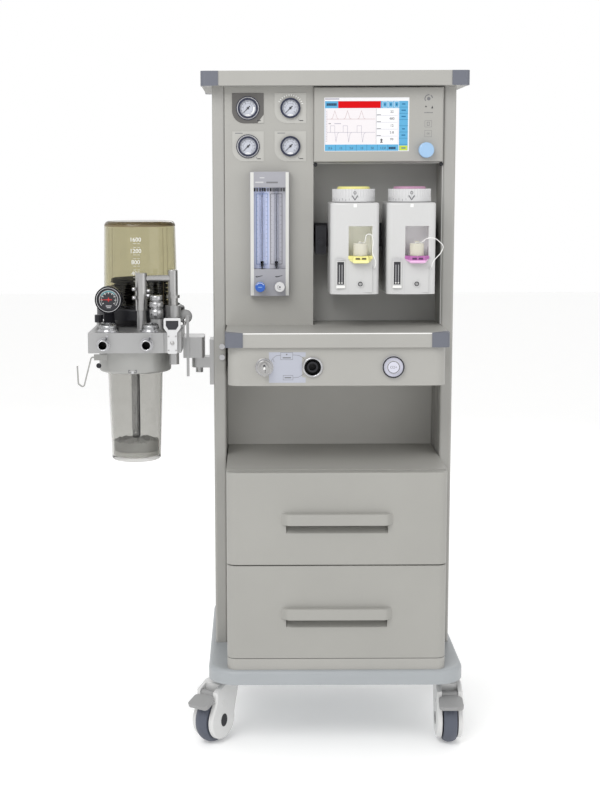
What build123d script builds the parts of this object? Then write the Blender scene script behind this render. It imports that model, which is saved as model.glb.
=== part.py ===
"""Veterinary anesthesia machine: a wheeled trolley with two drawers, a worktop, a gauge and flowmeter panel,
two vaporizers, a ventilator monitor, and a breathing system that hangs on a swivel arm at the left column.

Working frame: X to the right, Y to the rear with Y = 0 on the columns' front faces, Z up from the floor.
save() moves every piece by ROW_SHIFT, so that the row's origin is the bottom centre of the overall box.
Sizes are in millimetres.
"""

import os
from math import cos, radians, sin, tan

from build123d import *

os.makedirs("parts", exist_ok=True)

# ---------------------------------------------------------------- overall sizes
HEIGHT = 1400.0
CABINET_WIDTH = 510.0  # over both columns
CABINET_DEPTH = 300.0  # column front to rear cover
LID_WIDTH = 552.0
LID_THICK = 30.0
LID_FRONT = 36.0  # overhang ahead of the columns
LID_BACK = 10.0  # overhang behind the rear cover
LID_BOTTOM = HEIGHT - LID_THICK
COLUMN_WIDTH = 26.0
COLUMN_WALL = 3.0
COLUMN_GROOVES = (40.0, 95.0, 260.0)
COLUMN_CELLS = ((8.0, 30.0), (50.0, 85.0), (105.0, 175.0), (181.0, 250.0), (270.0, 292.0))
INNER_X = CABINET_WIDTH / 2 - COLUMN_WIDTH  # inner face of a column
SHEET = 2.0  # sheet steel of panels and covers
BACK_Y = 137.0  # front face of the back panel

# ---------------------------------------------------------------- base and casters
BASE_WIDTH = 532.0
BASE_FRONT = 196.0
BASE_BACK = CABINET_DEPTH + 50.0
BASE_TOP = 172.0
BASE_THICK = 30.0
BASE_BOTTOM = BASE_TOP - BASE_THICK
BASE_CORNER = 60.0
BASE_WALL = 4.0
CASTER_X = 240.0
CASTER_FRONT_Y = -110.0
CASTER_REAR_Y = 262.0
WHEEL_R = 50.0
WHEEL_WIDTH = 28.0
TYRE_THICK = 12.0
HUB_WIDTH = 24.0
AXLE_R = 5.0
TRAIL = 30.0  # wheel centre to swivel axis
FORK_WIDTH = 54.0
NECK_R = 26.0
CHEEK_R = 41.0
KINGPIN_R = 6.0
RUNNING = 0.05  # radial clearance of a running fit
PLATE_THICK = 6.0
SWIVEL_GAP = 2.0
FORK_TOP = BASE_BOTTOM - PLATE_THICK - SWIVEL_GAP
FORK_NECK = 24.0  # height of the round neck
PEDAL_WIDTH = 50.0
PEDAL_PIN = (46.0, 108.0)  # reach and height of the pedal's hinge
PEDAL_PIN_R = 3.0
PEDAL_TIP = 93.0
PEDAL_SLOPE = 22.0  # downward slope of the released pedal
FRONT_SWIVEL = {"left": -125.0, "right": -90.0}  # heading of each front wheel
REAR_SWIVEL = 90.0

# ---------------------------------------------------------------- drawers
DRAWER_REACH = 187.0  # drawer fronts ahead of the columns
DRAWER_WIDTH = 453.0
DRAWER_TOP = 590.0
SKIRT_TOP = 195.5
DRAWER_SPLIT = (DRAWER_TOP + SKIRT_TOP) / 2 + 1.75  # middle of the gap between the fronts
FRONT_GAP = 2.5
FRONT_THICK = 25.0
FRONT_CORNER = 20.0
CARCASS_WALL = 4.0
TRAY_DEPTH = 285.0
TRAY_HEIGHT = DRAWER_SPLIT - SKIRT_TOP - 59.0
TRAY_RISE = 12.0  # tray bottom above the bottom of the front
TRAY_WALL = 2.0
SLIDE_DEPTH = 10.0  # rail's and runner's reach from the wall
SLIDE_HEIGHT = 8.0
SLIDE_GAP = 0.6
SLIDE_RISE = 70.0  # runner's bottom above the tray's bottom
PULL_WIDTH = 229.0
PULL_HEIGHT = 23.0
PULL_PROUD = 14.0
PULL_LIP = 6.0
PULL_TAPER = 14.0  # length of each tapered end
PULL_TOP = 108.0  # above the bottom of the front
POCKET_DEPTH = 15.0
POCKET_HEIGHT = 38.0
POCKET_CEILING = 6.0

# ---------------------------------------------------------------- worktop and control housing
WORKTOP_Z = 872.0
WORKTOP_THICK = 30.0
WORKTOP_REACH = 168.0
WORKTOP_WIDTH = 453.0
CONTROL_BOTTOM = 763.0
CONTROL_WIDTH = 444.0
CONTROL_REACH = 160.0
CONTROL_CORNER = 25.0
CAP_SIZE = 35.0  # corner caps of the worktop and lid
CAP_PROUD = 1.5
CAP_CORNER = 10.0
CONTROL_Z = 801.5  # height of the selector, outlet and flush button
SELECTOR_X = -148.0
SELECTOR_R = 15.0
OUTLET_X = -50.0
OUTLET_R = 20.5
OUTLET_CUP_R = 18.0
OUTLET_CUP_DEPTH = 22.0
OUTLET_PORT_R = 11.0  # 22 mm male cone, taken as a cylinder
OUTLET_BORE_R = 7.5  # 15 mm female cone, taken as a cylinder
FLUSH_X = 114.0
FLUSH_R = 22.5
FLUSH_DISH_R = 19.0
FLUSH_BUTTON_R = 13.0

# ---------------------------------------------------------------- upper cabinet
DIVIDER_X = -43.0  # gauge panel to the left, vaporizer bay and monitor to the right
BAY_TOP = 1213.0
BAY_BACK = 95.0
GAUGE_X = (-180.0, -91.5)
GAUGE_Z = (1325.5, 1247.0)
GAUGE_CASE_R = 18.5
GAUGE_BEZEL_R = (24.5, 21.0)  # left pair, right pair
GAUGE_FACE_R = 17.0
GAUGE_PROUD = 7.0
GAUGE_DEPTH = 34.0
NEEDLE_LENGTH = 13.0
NEEDLE_TAIL = 6.0
FLOW_X = (-176.5, -94.0)
FLOW_Z = (935.5, 1194.5)
FLOW_PROUD = 22.0
FLOW_DEPTH = 36.0
FLOW_RAIL = 6.0
FLOW_WINDOW_Z = (992.0, 1162.0)
FLOW_WINDOW_DEPTH = 16.0
TUBE_X = (-151.0, -121.0)
TUBE_R = 6.0
TUBE_BORE_R = 3.4
FLOAT_R = 3.0
FLOAT_HEIGHT = 8.0
FLOW_KNOB_X = (-155.5, -114.5)
FLOW_KNOB_Z = 955.5
FLOW_KNOB_R = 10.5
FLOW_KNOB_LENGTH = 18.0
SPINDLE_R = 3.0

# ---------------------------------------------------------------- vaporizers
VAPORIZER_X = (39.5, 156.0)
VAPORIZER_WIDTH = 101.0
VAPORIZER_FRONT = -85.0
VAPORIZER_BACK = 55.0
VAPORIZER_Z = (943.0, 1131.0)
DIAL_R = 45.0
DIAL_Y = -30.0
DIAL_HEIGHT = 31.0
DIAL_RING = 9.0  # smooth scale ring below the ribs
DIAL_RIBS = 44
DIAL_CAP_R = 34.0
DIAL_GAP = 1.5
NICHE_X = 11.5  # niche centre right of the vaporizer's centre
NICHE_WIDTH = 49.0
NICHE_Z = (1016.0, 1083.0)
NICHE_DEPTH = 42.0
COLLAR_RADIUS = 25.0
COLLAR_THICK = 6.0
FILLER_Y = -78.0
FILLER_CAP_R = 14.5
FILLER_CAP_HEIGHT = 25.0
FILLER_STEM_R = 8.0
TETHER_R = 0.9
TETHER_Z = NICHE_Z[0] + COLLAR_THICK + 0.5 + FILLER_CAP_HEIGHT + 1.6
TETHER_BOSS_X = 28.5  # from the niche's centre
TETHER_BOSS_Y = 3.0  # boss face behind the body's foremost line
TETHER_BOSS_Z = TETHER_Z - 52.0
BAR_Z = (1035.0, 1085.0)

# ---------------------------------------------------------------- monitor
MONITOR_X = (DIVIDER_X + 0.5, 227.0)
MONITOR_Z = (1214.0, 1368.0)
MONITOR_PROUD = 8.0
MONITOR_DEPTH = 60.0
SCREEN_X = (-21.0, 156.0)
SCREEN_Z = (1236.0, 1346.5)
ENCODER = (191.0, 1238.0)
ENCODER_R = 16.0
ENCODER_LENGTH = 16.0

# ---------------------------------------------------------------- breathing system
PIVOT = (-287.0, 35.0)  # swivel axis of the arm
PIVOT_R = 8.0
BRACKET_Z = (779.0, 802.0)
ARM_Z = (804.0, 848.0)
BLOCK_X = (-511.0, -355.0, -319.0)  # left side, step, right side
BLOCK_Y = (-110.0, 60.0, 170.0)  # front, rear of the right part, rear
BLOCK_Z = (825.0, 867.0)
PORT_X = (-478.5, -389.5)
PORT_Z = 843.5
PORT_R = 11.0
PORT_BORE_R = 8.5
PORT_LENGTH = 25.0
VALVE_X = (-472.0, -384.0)
VALVE_Y = -76.0
VALVE_R = 19.0
VALVE_HEIGHT = 14.0
CANISTER = (-421.0, -20.0)
HEAD_R = 76.0
HEAD_Z = (779.0, 825.0)
CANISTER_R = (52.0, 58.5)  # bottom, top
CANISTER_Z = (589.0, 792.0)
CANISTER_WALL = 3.0
BELLOWS = (-417.0, 105.0)
RISER_R = 62.0
BELLOWS_BASE_R = 96.0
BELLOWS_BASE_Z = (881.0, 905.0)
DOME_R = (80.5, 77.0)  # bottom, top
DOME_TOP = 1090.0
DOME_WALL = 3.0
BELLOWS_R = 66.0
BELLOWS_FOLDS = 6
BELLOWS_TOP = 958.0
DISC_THICK = 8.0
MANOMETER = (-473.7, -45.0, 930.0)
MANOMETER_R = 28.5
MANOMETER_DEPTH = 24.0
APL = (-374.0, -34.0)
APL_R = 14.5
APL_HEIGHT = 49.5
LEVER_X = -336.5
LEVER_PIN_Z = 847.0
TUBE_LEFT = (-407.0, -10.0)
TUBE_RIGHT = (-341.0, 5.0)
HOOK_THICK = 3.0
HOOK_TIP_X = -540.0

FRONT_REACH = -(DRAWER_REACH + PULL_PROUD)
RIGHT_REACH = LID_WIDTH / 2 + CAP_PROUD
ROW_SHIFT = (-(HOOK_TIP_X + RIGHT_REACH) / 2, -(BASE_BACK + FRONT_REACH) / 2, 0.0)


def save(piece, label):
    """Labels a finished piece and writes it in the row frame."""
    placed = piece.moved(Location(ROW_SHIFT))
    placed.label = label
    export_step(placed, f"parts/{label}.step")


def block(x, y, z, mode=Mode.ADD):
    """Adds to the current part a box that spans the (low, high) pairs x, y and z."""
    with Locations((sum(x) / 2, sum(y) / 2, sum(z) / 2)):
        Box(x[1] - x[0], y[1] - y[0], z[1] - z[0], mode=mode)


def rod(start, end, radius, mode=Mode.ADD):
    """Adds to the current part a cylinder between two points that share two coordinates."""
    run = Vector(*end) - Vector(*start)
    with Locations(Plane(origin=start, z_dir=run.normalized())):
        Cylinder(radius, run.length, align=(Align.CENTER, Align.CENTER, Align.MIN), mode=mode)


# ================================================================ base and casters
with BuildPart() as base_plate:
    with BuildSketch(Plane.XY.offset(BASE_BOTTOM)):
        with Locations((0, (BASE_BACK - BASE_FRONT) / 2)):
            RectangleRounded(BASE_WIDTH, BASE_FRONT + BASE_BACK, BASE_CORNER)
    extrude(amount=BASE_THICK)
    fillet(base_plate.edges().group_by(Axis.Z)[-1], 9.0)
    with BuildSketch(Plane.XY.offset(BASE_BOTTOM)):
        with Locations((0, (BASE_BACK - BASE_FRONT) / 2)):
            RectangleRounded(
                BASE_WIDTH - 2 * BASE_WALL,
                BASE_FRONT + BASE_BACK - 2 * BASE_WALL,
                BASE_CORNER - BASE_WALL,
            )
    extrude(amount=BASE_THICK - BASE_WALL, mode=Mode.SUBTRACT)
    for side in (-1, 1):
        block(
            sorted((side * (CASTER_X - 34), side * (CASTER_X + 14))),
            (CASTER_FRONT_Y - 20, CASTER_REAR_Y + 20),
            (BASE_BOTTOM, BASE_TOP - BASE_WALL + 1),
        )
        for y in (CASTER_FRONT_Y, CASTER_REAR_Y):
            x = side * CASTER_X
            rod((x, y, BASE_BOTTOM + 1), (x, y, BASE_BOTTOM - PLATE_THICK), NECK_R - 2)
            rod((x, y, BASE_BOTTOM), (x, y, FORK_TOP - FORK_NECK + 4), KINGPIN_R)
save(base_plate.part, "base_plate")


def caster_location(side, y, heading):
    """Places a caster that is drawn with its wheel trailing along +X from the swivel axis."""
    return Location((side * CASTER_X, y, 0), (0, 0, heading))


def caster_fork(braked):
    """Fork with round neck, two cover-like cheeks and the wheel's axle; a braked one has the pedal's pin."""
    cheek_in = WHEEL_WIDTH / 2 + 3
    with BuildPart() as fork:
        with BuildSketch(Plane.XZ.offset(-FORK_WIDTH / 2)):
            with Locations((TRAIL, WHEEL_R)):
                Circle(CHEEK_R)
            with BuildLine():
                Polyline(
                    (-NECK_R, FORK_TOP - FORK_NECK + 2),
                    (-NECK_R, FORK_TOP - 5),
                    (NECK_R - 2, FORK_TOP - 5),
                    (PEDAL_PIN[0] + 8, PEDAL_PIN[1] + 7),
                    (PEDAL_PIN[0] + 8, PEDAL_PIN[1] - 14),
                    (TRAIL + CHEEK_R * cos(radians(20)), WHEEL_R + CHEEK_R * sin(radians(20))),
                    (TRAIL, WHEEL_R),
                    (TRAIL - CHEEK_R * cos(radians(10)), WHEEL_R + CHEEK_R * sin(radians(10))),
                    (-NECK_R, FORK_TOP - FORK_NECK + 2),
                )
            make_face()
        extrude(amount=FORK_WIDTH)
        chamfer(fork.faces().group_by(Axis.Y)[0].edges(), 3.0)
        chamfer(fork.faces().group_by(Axis.Y)[-1].edges(), 3.0)
        with BuildSketch(Plane.XZ.offset(-cheek_in)):
            with Locations((TRAIL, WHEEL_R)):
                Circle(WHEEL_R + 5)
        extrude(amount=2 * cheek_in, mode=Mode.SUBTRACT)
        block((PEDAL_PIN[0] - 14, 120), (-cheek_in, cheek_in), (60, FORK_TOP), mode=Mode.SUBTRACT)
        rod((0, 0, FORK_TOP - FORK_NECK + 3), (0, 0, FORK_TOP), NECK_R)
        rod((0, 0, FORK_TOP - FORK_NECK), (0, 0, FORK_TOP), KINGPIN_R + RUNNING, Mode.SUBTRACT)
        rod((TRAIL, -cheek_in - 1, WHEEL_R), (TRAIL, cheek_in + 1, WHEEL_R), AXLE_R)
        for side in (-1, 1):
            with BuildSketch(Plane.XZ.offset(-side * FORK_WIDTH / 2)):
                with Locations((TRAIL, WHEEL_R)):
                    Ellipse(11, 14)
                with Locations((TRAIL - 2, WHEEL_R + 36)):
                    Ellipse(3, 5)
            extrude(amount=-1.0 * side)
        if braked:
            y = cheek_in + 1
            rod((PEDAL_PIN[0], -y, PEDAL_PIN[1]), (PEDAL_PIN[0], y, PEDAL_PIN[1]), PEDAL_PIN_R)
    return fork.part


def caster_wheel():
    """Wheel: grey hub with a bore for the axle and a rounded tyre."""
    half = WHEEL_WIDTH / 2
    with BuildPart() as wheel:
        with BuildSketch(Plane.YZ):
            with BuildLine():
                Polyline(
                    (-HUB_WIDTH / 2, AXLE_R + RUNNING),
                    (-HUB_WIDTH / 2, 14),
                    (-HUB_WIDTH / 2 + 4, 17),
                    (-HUB_WIDTH / 2 + 4, WHEEL_R - TYRE_THICK - 2),
                    (-half, WHEEL_R - TYRE_THICK),
                    (-half, WHEEL_R - 5),
                )
                ThreePointArc((-half, WHEEL_R - 5), (0, WHEEL_R), (half, WHEEL_R - 5))
                Polyline(
                    (half, WHEEL_R - 5),
                    (half, WHEEL_R - TYRE_THICK),
                    (HUB_WIDTH / 2 - 4, WHEEL_R - TYRE_THICK - 2),
                    (HUB_WIDTH / 2 - 4, 17),
                    (HUB_WIDTH / 2, 14),
                    (HUB_WIDTH / 2, AXLE_R + RUNNING),
                    (-HUB_WIDTH / 2, AXLE_R + RUNNING),
                )
            make_face()
        revolve(axis=Axis.Y)
    return wheel.part.moved(Location((TRAIL, 0, WHEEL_R)))


def brake_pedal():
    """Foot pedal: a hub on the fork's pin and a pad that reaches past the wheel."""
    half = WHEEL_WIDTH / 2 + 2
    with BuildPart() as pedal:
        with BuildSketch(Plane.XY.offset(PEDAL_PIN[1] - 5)):
            with Locations(((PEDAL_PIN[0] + 11 + PEDAL_TIP) / 2, 0)):
                RectangleRounded(PEDAL_TIP - PEDAL_PIN[0] - 11, PEDAL_WIDTH, 8)
        extrude(amount=8)
        fillet(pedal.edges().group_by(Axis.Z)[-1], 1.2)
        block((PEDAL_PIN[0], PEDAL_PIN[0] + 14), (-half, half), (PEDAL_PIN[1] - 4, PEDAL_PIN[1] + 2))
        rod((PEDAL_PIN[0], -half, PEDAL_PIN[1]), (PEDAL_PIN[0], half, PEDAL_PIN[1]), 6.5)
        rod(
            (PEDAL_PIN[0], -half, PEDAL_PIN[1]),
            (PEDAL_PIN[0], half, PEDAL_PIN[1]),
            PEDAL_PIN_R + RUNNING,
            Mode.SUBTRACT,
        )
    hinge = Axis((PEDAL_PIN[0], 0, PEDAL_PIN[1]), (0, 1, 0))
    return pedal.part.rotate(hinge, PEDAL_SLOPE)


for name, side, y, heading in (
    ("front_left", -1, CASTER_FRONT_Y, FRONT_SWIVEL["left"]),
    ("front_right", 1, CASTER_FRONT_Y, FRONT_SWIVEL["right"]),
    ("rear_left", -1, CASTER_REAR_Y, REAR_SWIVEL),
    ("rear_right", 1, CASTER_REAR_Y, REAR_SWIVEL),
):
    place = caster_location(side, y, heading)
    braked = name.startswith("front")
    save(caster_fork(braked).moved(place), f"caster_fork_{name}")
    save(caster_wheel().moved(place), f"caster_wheel_{name}")
    if braked:
        save(brake_pedal().moved(place), f"brake_pedal_{name}")

# ================================================================ frame and drawer unit
with BuildPart() as side_columns:
    for side in (-1, 1):
        with BuildSketch(Plane.XY.offset(BASE_TOP)):
            with Locations((side * (INNER_X + COLUMN_WIDTH / 2), CABINET_DEPTH / 2)):
                Rectangle(COLUMN_WIDTH, CABINET_DEPTH)
        extrude(amount=LID_BOTTOM - BASE_TOP)
    fillet(side_columns.edges().filter_by(Axis.Z).group_by(Axis.Y)[0], 5.0)
    for side in (-1, 1):
        for face in (INNER_X, INNER_X + COLUMN_WIDTH):
            for y in COLUMN_GROOVES:
                with BuildSketch(Plane.XY.offset(BASE_TOP)):
                    with Locations((side * face, y)):
                        Rectangle(12.0, 7.0)
                extrude(amount=LID_BOTTOM - BASE_TOP, mode=Mode.SUBTRACT)
    for side in (-1, 1):
        for y in COLUMN_CELLS:
            block(
                sorted((side * (INNER_X + COLUMN_WALL), side * (INNER_X + COLUMN_WIDTH - COLUMN_WALL))),
                y,
                (BASE_TOP, LID_BOTTOM),
                mode=Mode.SUBTRACT,
            )
save(side_columns.part, "side_columns")

TRAY_X = DRAWER_WIDTH / 2 - CARCASS_WALL - SLIDE_DEPTH - 2.0
FRONT_BACK_Y = -(DRAWER_REACH - FRONT_THICK)
DRAWER_FLOORS = {
    "upper": (DRAWER_SPLIT + FRONT_GAP / 2, DRAWER_TOP - 2.0),
    "lower": (SKIRT_TOP + FRONT_GAP / 2, DRAWER_SPLIT - FRONT_GAP / 2),
}

with BuildPart() as drawer_housing:
    wall = CARCASS_WALL
    half = DRAWER_WIDTH / 2
    front = FRONT_BACK_Y + 1.0
    block((-half, half), (front, BACK_Y + SHEET), (BASE_TOP, DRAWER_TOP))
    block(
        (-half + wall, half - wall),
        (front - 1, BACK_Y),
        (BASE_TOP + wall, DRAWER_TOP - wall),
        mode=Mode.SUBTRACT,
    )
    block((-INNER_X, INNER_X), (BACK_Y, BACK_Y + SHEET), (BASE_TOP, WORKTOP_Z - WORKTOP_THICK))
    with BuildSketch(Plane.XY.offset(BASE_TOP)):
        with Locations((0, -DRAWER_REACH / 2)):
            Rectangle(DRAWER_WIDTH, DRAWER_REACH)
    extrude(amount=SKIRT_TOP - BASE_TOP)
    fillet(drawer_housing.edges().filter_by(Axis.Z).group_by(Axis.Y)[0], FRONT_CORNER)
    block(
        (-half + wall, half - wall),
        (-DRAWER_REACH + 15, BACK_Y),
        (BASE_TOP + wall, SKIRT_TOP + 1),
        mode=Mode.SUBTRACT,
    )
    for floor, _ in DRAWER_FLOORS.values():
        rail = floor + TRAY_RISE + SLIDE_RISE
        for side in (-1, 1):
            for z in (rail - SLIDE_GAP - SLIDE_HEIGHT, rail + SLIDE_HEIGHT + SLIDE_GAP):
                block(
                    sorted((side * (half - wall - SLIDE_DEPTH), side * (half - wall + 1))),
                    (front + 4, BACK_Y - 4),
                    (z, z + SLIDE_HEIGHT),
                )
save(drawer_housing.part, "drawer_housing")


def drawer_front(low, high):
    """Drawer front with rounded vertical edges and a hooded finger pull."""
    pull_top = low + PULL_TOP
    with BuildPart() as front:
        with BuildSketch(Plane.XY.offset(low)):
            with BuildLine():
                x = DRAWER_WIDTH / 2
                Line((-x, FRONT_BACK_Y), (-x, -DRAWER_REACH + FRONT_CORNER))
                RadiusArc(
                    (-x, -DRAWER_REACH + FRONT_CORNER), (-x + FRONT_CORNER, -DRAWER_REACH), -FRONT_CORNER
                )
                Line((-x + FRONT_CORNER, -DRAWER_REACH), (x - FRONT_CORNER, -DRAWER_REACH))
                RadiusArc(
                    (x - FRONT_CORNER, -DRAWER_REACH), (x, -DRAWER_REACH + FRONT_CORNER), -FRONT_CORNER
                )
                Line((x, -DRAWER_REACH + FRONT_CORNER), (x, FRONT_BACK_Y))
                Line((x, FRONT_BACK_Y), (-x, FRONT_BACK_Y))
            make_face()
        extrude(amount=high - low)
        fillet(front.edges().group_by(Axis.Z)[-1].filter_by(Axis.Y, reverse=True), 3.0)
        face = -DRAWER_REACH
        half = PULL_WIDTH / 2
        with BuildSketch(Plane.XY.offset(pull_top - PULL_HEIGHT)):
            with BuildLine():
                Polyline(
                    (-half, face + 1),
                    (-half, face),
                    (-half + PULL_TAPER, face - PULL_PROUD),
                    (half - PULL_TAPER, face - PULL_PROUD),
                    (half, face),
                    (half, face + 1),
                    (-half, face + 1),
                )
            lip = make_face()
            fillet(lip.vertices().group_by(Axis.Y)[0], 14.0)
        extrude(amount=PULL_HEIGHT)
        with BuildSketch(Plane.YZ.offset(-half + PULL_TAPER - 4)):
            with BuildLine():
                back = face + POCKET_DEPTH
                inner = face - PULL_PROUD + PULL_LIP
                low_edge = pull_top - PULL_HEIGHT - POCKET_HEIGHT / 2
                Polyline(
                    (face - 1, low_edge),
                    (face, low_edge),
                    (back, low_edge + 12),
                    (back, pull_top - POCKET_CEILING - 6),
                    (back - 8, pull_top - POCKET_CEILING),
                    (inner + 3, pull_top - POCKET_CEILING),
                    (inner, pull_top - POCKET_CEILING - 3),
                    (inner, pull_top - PULL_HEIGHT - 1),
                    (face - 1, pull_top - PULL_HEIGHT - 1),
                    (face - 1, low_edge),
                )
            make_face()
        extrude(amount=2 * (half - PULL_TAPER + 4), mode=Mode.SUBTRACT)
        lip_edges = front.edges().filter_by_position(Axis.Z, pull_top - 0.1, pull_top + 0.1)
        fillet(lip_edges.filter_by_position(Axis.Y, face - PULL_PROUD - 1, face - 0.5), 4.0)
    return front.part


def drawer_tray(low):
    """Open-topped tray with a runner on each side, fixed to the back of the drawer front."""
    floor = low + TRAY_RISE
    with BuildPart() as tray:
        block((-TRAY_X, TRAY_X), (FRONT_BACK_Y, FRONT_BACK_Y + TRAY_DEPTH), (floor, floor + TRAY_HEIGHT))
        block(
            (-TRAY_X + TRAY_WALL, TRAY_X - TRAY_WALL),
            (FRONT_BACK_Y + TRAY_WALL, FRONT_BACK_Y + TRAY_DEPTH - TRAY_WALL),
            (floor + TRAY_WALL, floor + TRAY_HEIGHT + 1),
            mode=Mode.SUBTRACT,
        )
        for side in (-1, 1):
            block(
                sorted((side * (TRAY_X - 1), side * (TRAY_X + SLIDE_DEPTH))),
                (FRONT_BACK_Y + 8, FRONT_BACK_Y + TRAY_DEPTH),
                (floor + SLIDE_RISE, floor + SLIDE_RISE + SLIDE_HEIGHT),
            )
    return tray.part


for name, (low, high) in DRAWER_FLOORS.items():
    save(drawer_front(low, high), f"{name}_drawer_front")
    save(drawer_tray(low), f"{name}_drawer_tray")

# ================================================================ worktop and control housing
def corner_cap(x_out, y_out, z, inward):
    """Raised cap on one corner of a slab; inward gives the x and y directions to the slab's middle."""
    x = sorted((x_out - inward[0] * CAP_PROUD, x_out + inward[0] * CAP_SIZE))
    y = sorted((y_out - inward[1] * CAP_PROUD, y_out + inward[1] * CAP_SIZE))
    with BuildPart() as cap:
        block(x, y, (z[0], z[1]))
        corner = cap.edges().filter_by(Axis.Z).sort_by_distance((x_out, y_out, sum(z) / 2))[0]
        fillet(corner, CAP_CORNER)
    return cap.part


def capped_slab(x_half, y, z, rear_caps):
    """Slab with a separate cap on each front corner, and on each rear one if asked."""
    corners = [(side * x_half, y[0], (-side, 1)) for side in (-1, 1)]
    if rear_caps:
        corners += [(side * x_half, y[1], (-side, -1)) for side in (-1, 1)]
    caps = [corner_cap(cx, cy, z, inward) for cx, cy, inward in corners]
    with BuildPart() as slab:
        block((-x_half, x_half), y, z)
        for cx, cy, inward in corners:
            block(
                sorted((cx, cx + inward[0] * CAP_SIZE)),
                sorted((cy, cy + inward[1] * CAP_SIZE)),
                z,
                mode=Mode.SUBTRACT,
            )
        for cap in caps:
            add(cap)
    return slab.part


save(
    capped_slab(
        WORKTOP_WIDTH / 2, (-WORKTOP_REACH, BACK_Y), (WORKTOP_Z - WORKTOP_THICK, WORKTOP_Z), False
    ),
    "worktop",
)

CONTROL_Y = -CONTROL_REACH
CONTROL_X = CONTROL_WIDTH / 2
with BuildPart() as control_housing:
    block((-CONTROL_X, CONTROL_X), (CONTROL_Y, BACK_Y), (CONTROL_BOTTOM, WORKTOP_Z - WORKTOP_THICK))
    fillet(control_housing.edges().filter_by(Axis.Z).group_by(Axis.Y)[0], CONTROL_CORNER)
    block(
        (-CONTROL_X + 8, CONTROL_X - 8),
        (CONTROL_Y + 10, BACK_Y - SHEET),
        (CONTROL_BOTTOM + SHEET, WORKTOP_Z - WORKTOP_THICK + 1),
        mode=Mode.SUBTRACT,
    )
    hole_end = CONTROL_Y + 11
    rod((SELECTOR_X, CONTROL_Y, CONTROL_Z), (SELECTOR_X, hole_end, CONTROL_Z), 6.5, Mode.SUBTRACT)
    rod((OUTLET_X, CONTROL_Y, CONTROL_Z), (OUTLET_X, hole_end, CONTROL_Z), OUTLET_CUP_R + 1.5, Mode.SUBTRACT)
    rod((FLUSH_X, CONTROL_Y, CONTROL_Z), (FLUSH_X, hole_end, CONTROL_Z), FLUSH_BUTTON_R + 3.5, Mode.SUBTRACT)
save(control_housing.part, "control_housing")

with BuildPart() as panel_fittings:
    cup_end = CONTROL_Y + OUTLET_CUP_DEPTH
    rod((OUTLET_X, CONTROL_Y, CONTROL_Z), (OUTLET_X, CONTROL_Y - 4, CONTROL_Z), OUTLET_R)
    rod((OUTLET_X, CONTROL_Y, CONTROL_Z), (OUTLET_X, cup_end + 3, CONTROL_Z), OUTLET_CUP_R + 1)
    rod((OUTLET_X, CONTROL_Y - 5, CONTROL_Z), (OUTLET_X, cup_end, CONTROL_Z), OUTLET_CUP_R - 1, Mode.SUBTRACT)
    rod((OUTLET_X, cup_end + 1, CONTROL_Z), (OUTLET_X, CONTROL_Y, CONTROL_Z), OUTLET_PORT_R)
    bore = ((OUTLET_X, cup_end - 3, CONTROL_Z), (OUTLET_X, CONTROL_Y - 1, CONTROL_Z))
    rod(*bore, OUTLET_BORE_R, Mode.SUBTRACT)
    rod((FLUSH_X, CONTROL_Y, CONTROL_Z), (FLUSH_X, CONTROL_Y - 6, CONTROL_Z), FLUSH_R)
    rod((FLUSH_X, CONTROL_Y, CONTROL_Z), (FLUSH_X, CONTROL_Y + 22, CONTROL_Z), FLUSH_BUTTON_R + 3)
    rod((FLUSH_X, CONTROL_Y - 3, CONTROL_Z), (FLUSH_X, CONTROL_Y - 7, CONTROL_Z), FLUSH_DISH_R, Mode.SUBTRACT)
    rod(
        (FLUSH_X, CONTROL_Y - 7, CONTROL_Z),
        (FLUSH_X, CONTROL_Y + 19, CONTROL_Z),
        FLUSH_BUTTON_R + RUNNING,
        Mode.SUBTRACT,
    )
    rod((SELECTOR_X, CONTROL_Y, CONTROL_Z), (SELECTOR_X, CONTROL_Y - 2, CONTROL_Z), SELECTOR_R + 2)
    rod((SELECTOR_X, CONTROL_Y, CONTROL_Z), (SELECTOR_X, CONTROL_Y + 16, CONTROL_Z), 6.0)
    rod(
        (SELECTOR_X, CONTROL_Y - 3, CONTROL_Z),
        (SELECTOR_X, CONTROL_Y + 17, CONTROL_Z),
        SPINDLE_R + RUNNING,
        Mode.SUBTRACT,
    )
save(panel_fittings.part, "panel_fittings")

with BuildPart() as selector_knob:
    face = CONTROL_Y - 2.5
    rod((SELECTOR_X, face, CONTROL_Z), (SELECTOR_X, face - 6, CONTROL_Z), SELECTOR_R)
    fillet(selector_knob.edges().group_by(Axis.Y)[0], 1.5)
    with BuildSketch(Plane.XZ.offset(-face + 5)):
        with Locations((SELECTOR_X, CONTROL_Z)):
            Circle(9.0)
        with Locations((SELECTOR_X, CONTROL_Z - 3)):
            SlotOverall(28.0, 9.0, rotation=90)
    extrude(amount=12)
    rod((SELECTOR_X, face - 1, CONTROL_Z), (SELECTOR_X, CONTROL_Y + 14, CONTROL_Z), SPINDLE_R)
save(selector_knob.part, "selector_knob")

with BuildPart() as flush_button:
    rod((FLUSH_X, CONTROL_Y - 8, CONTROL_Z), (FLUSH_X, CONTROL_Y + 12, CONTROL_Z), FLUSH_BUTTON_R)
    fillet(flush_button.edges().group_by(Axis.Y)[0], 1.5)
save(flush_button.part, "flush_button")

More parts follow.
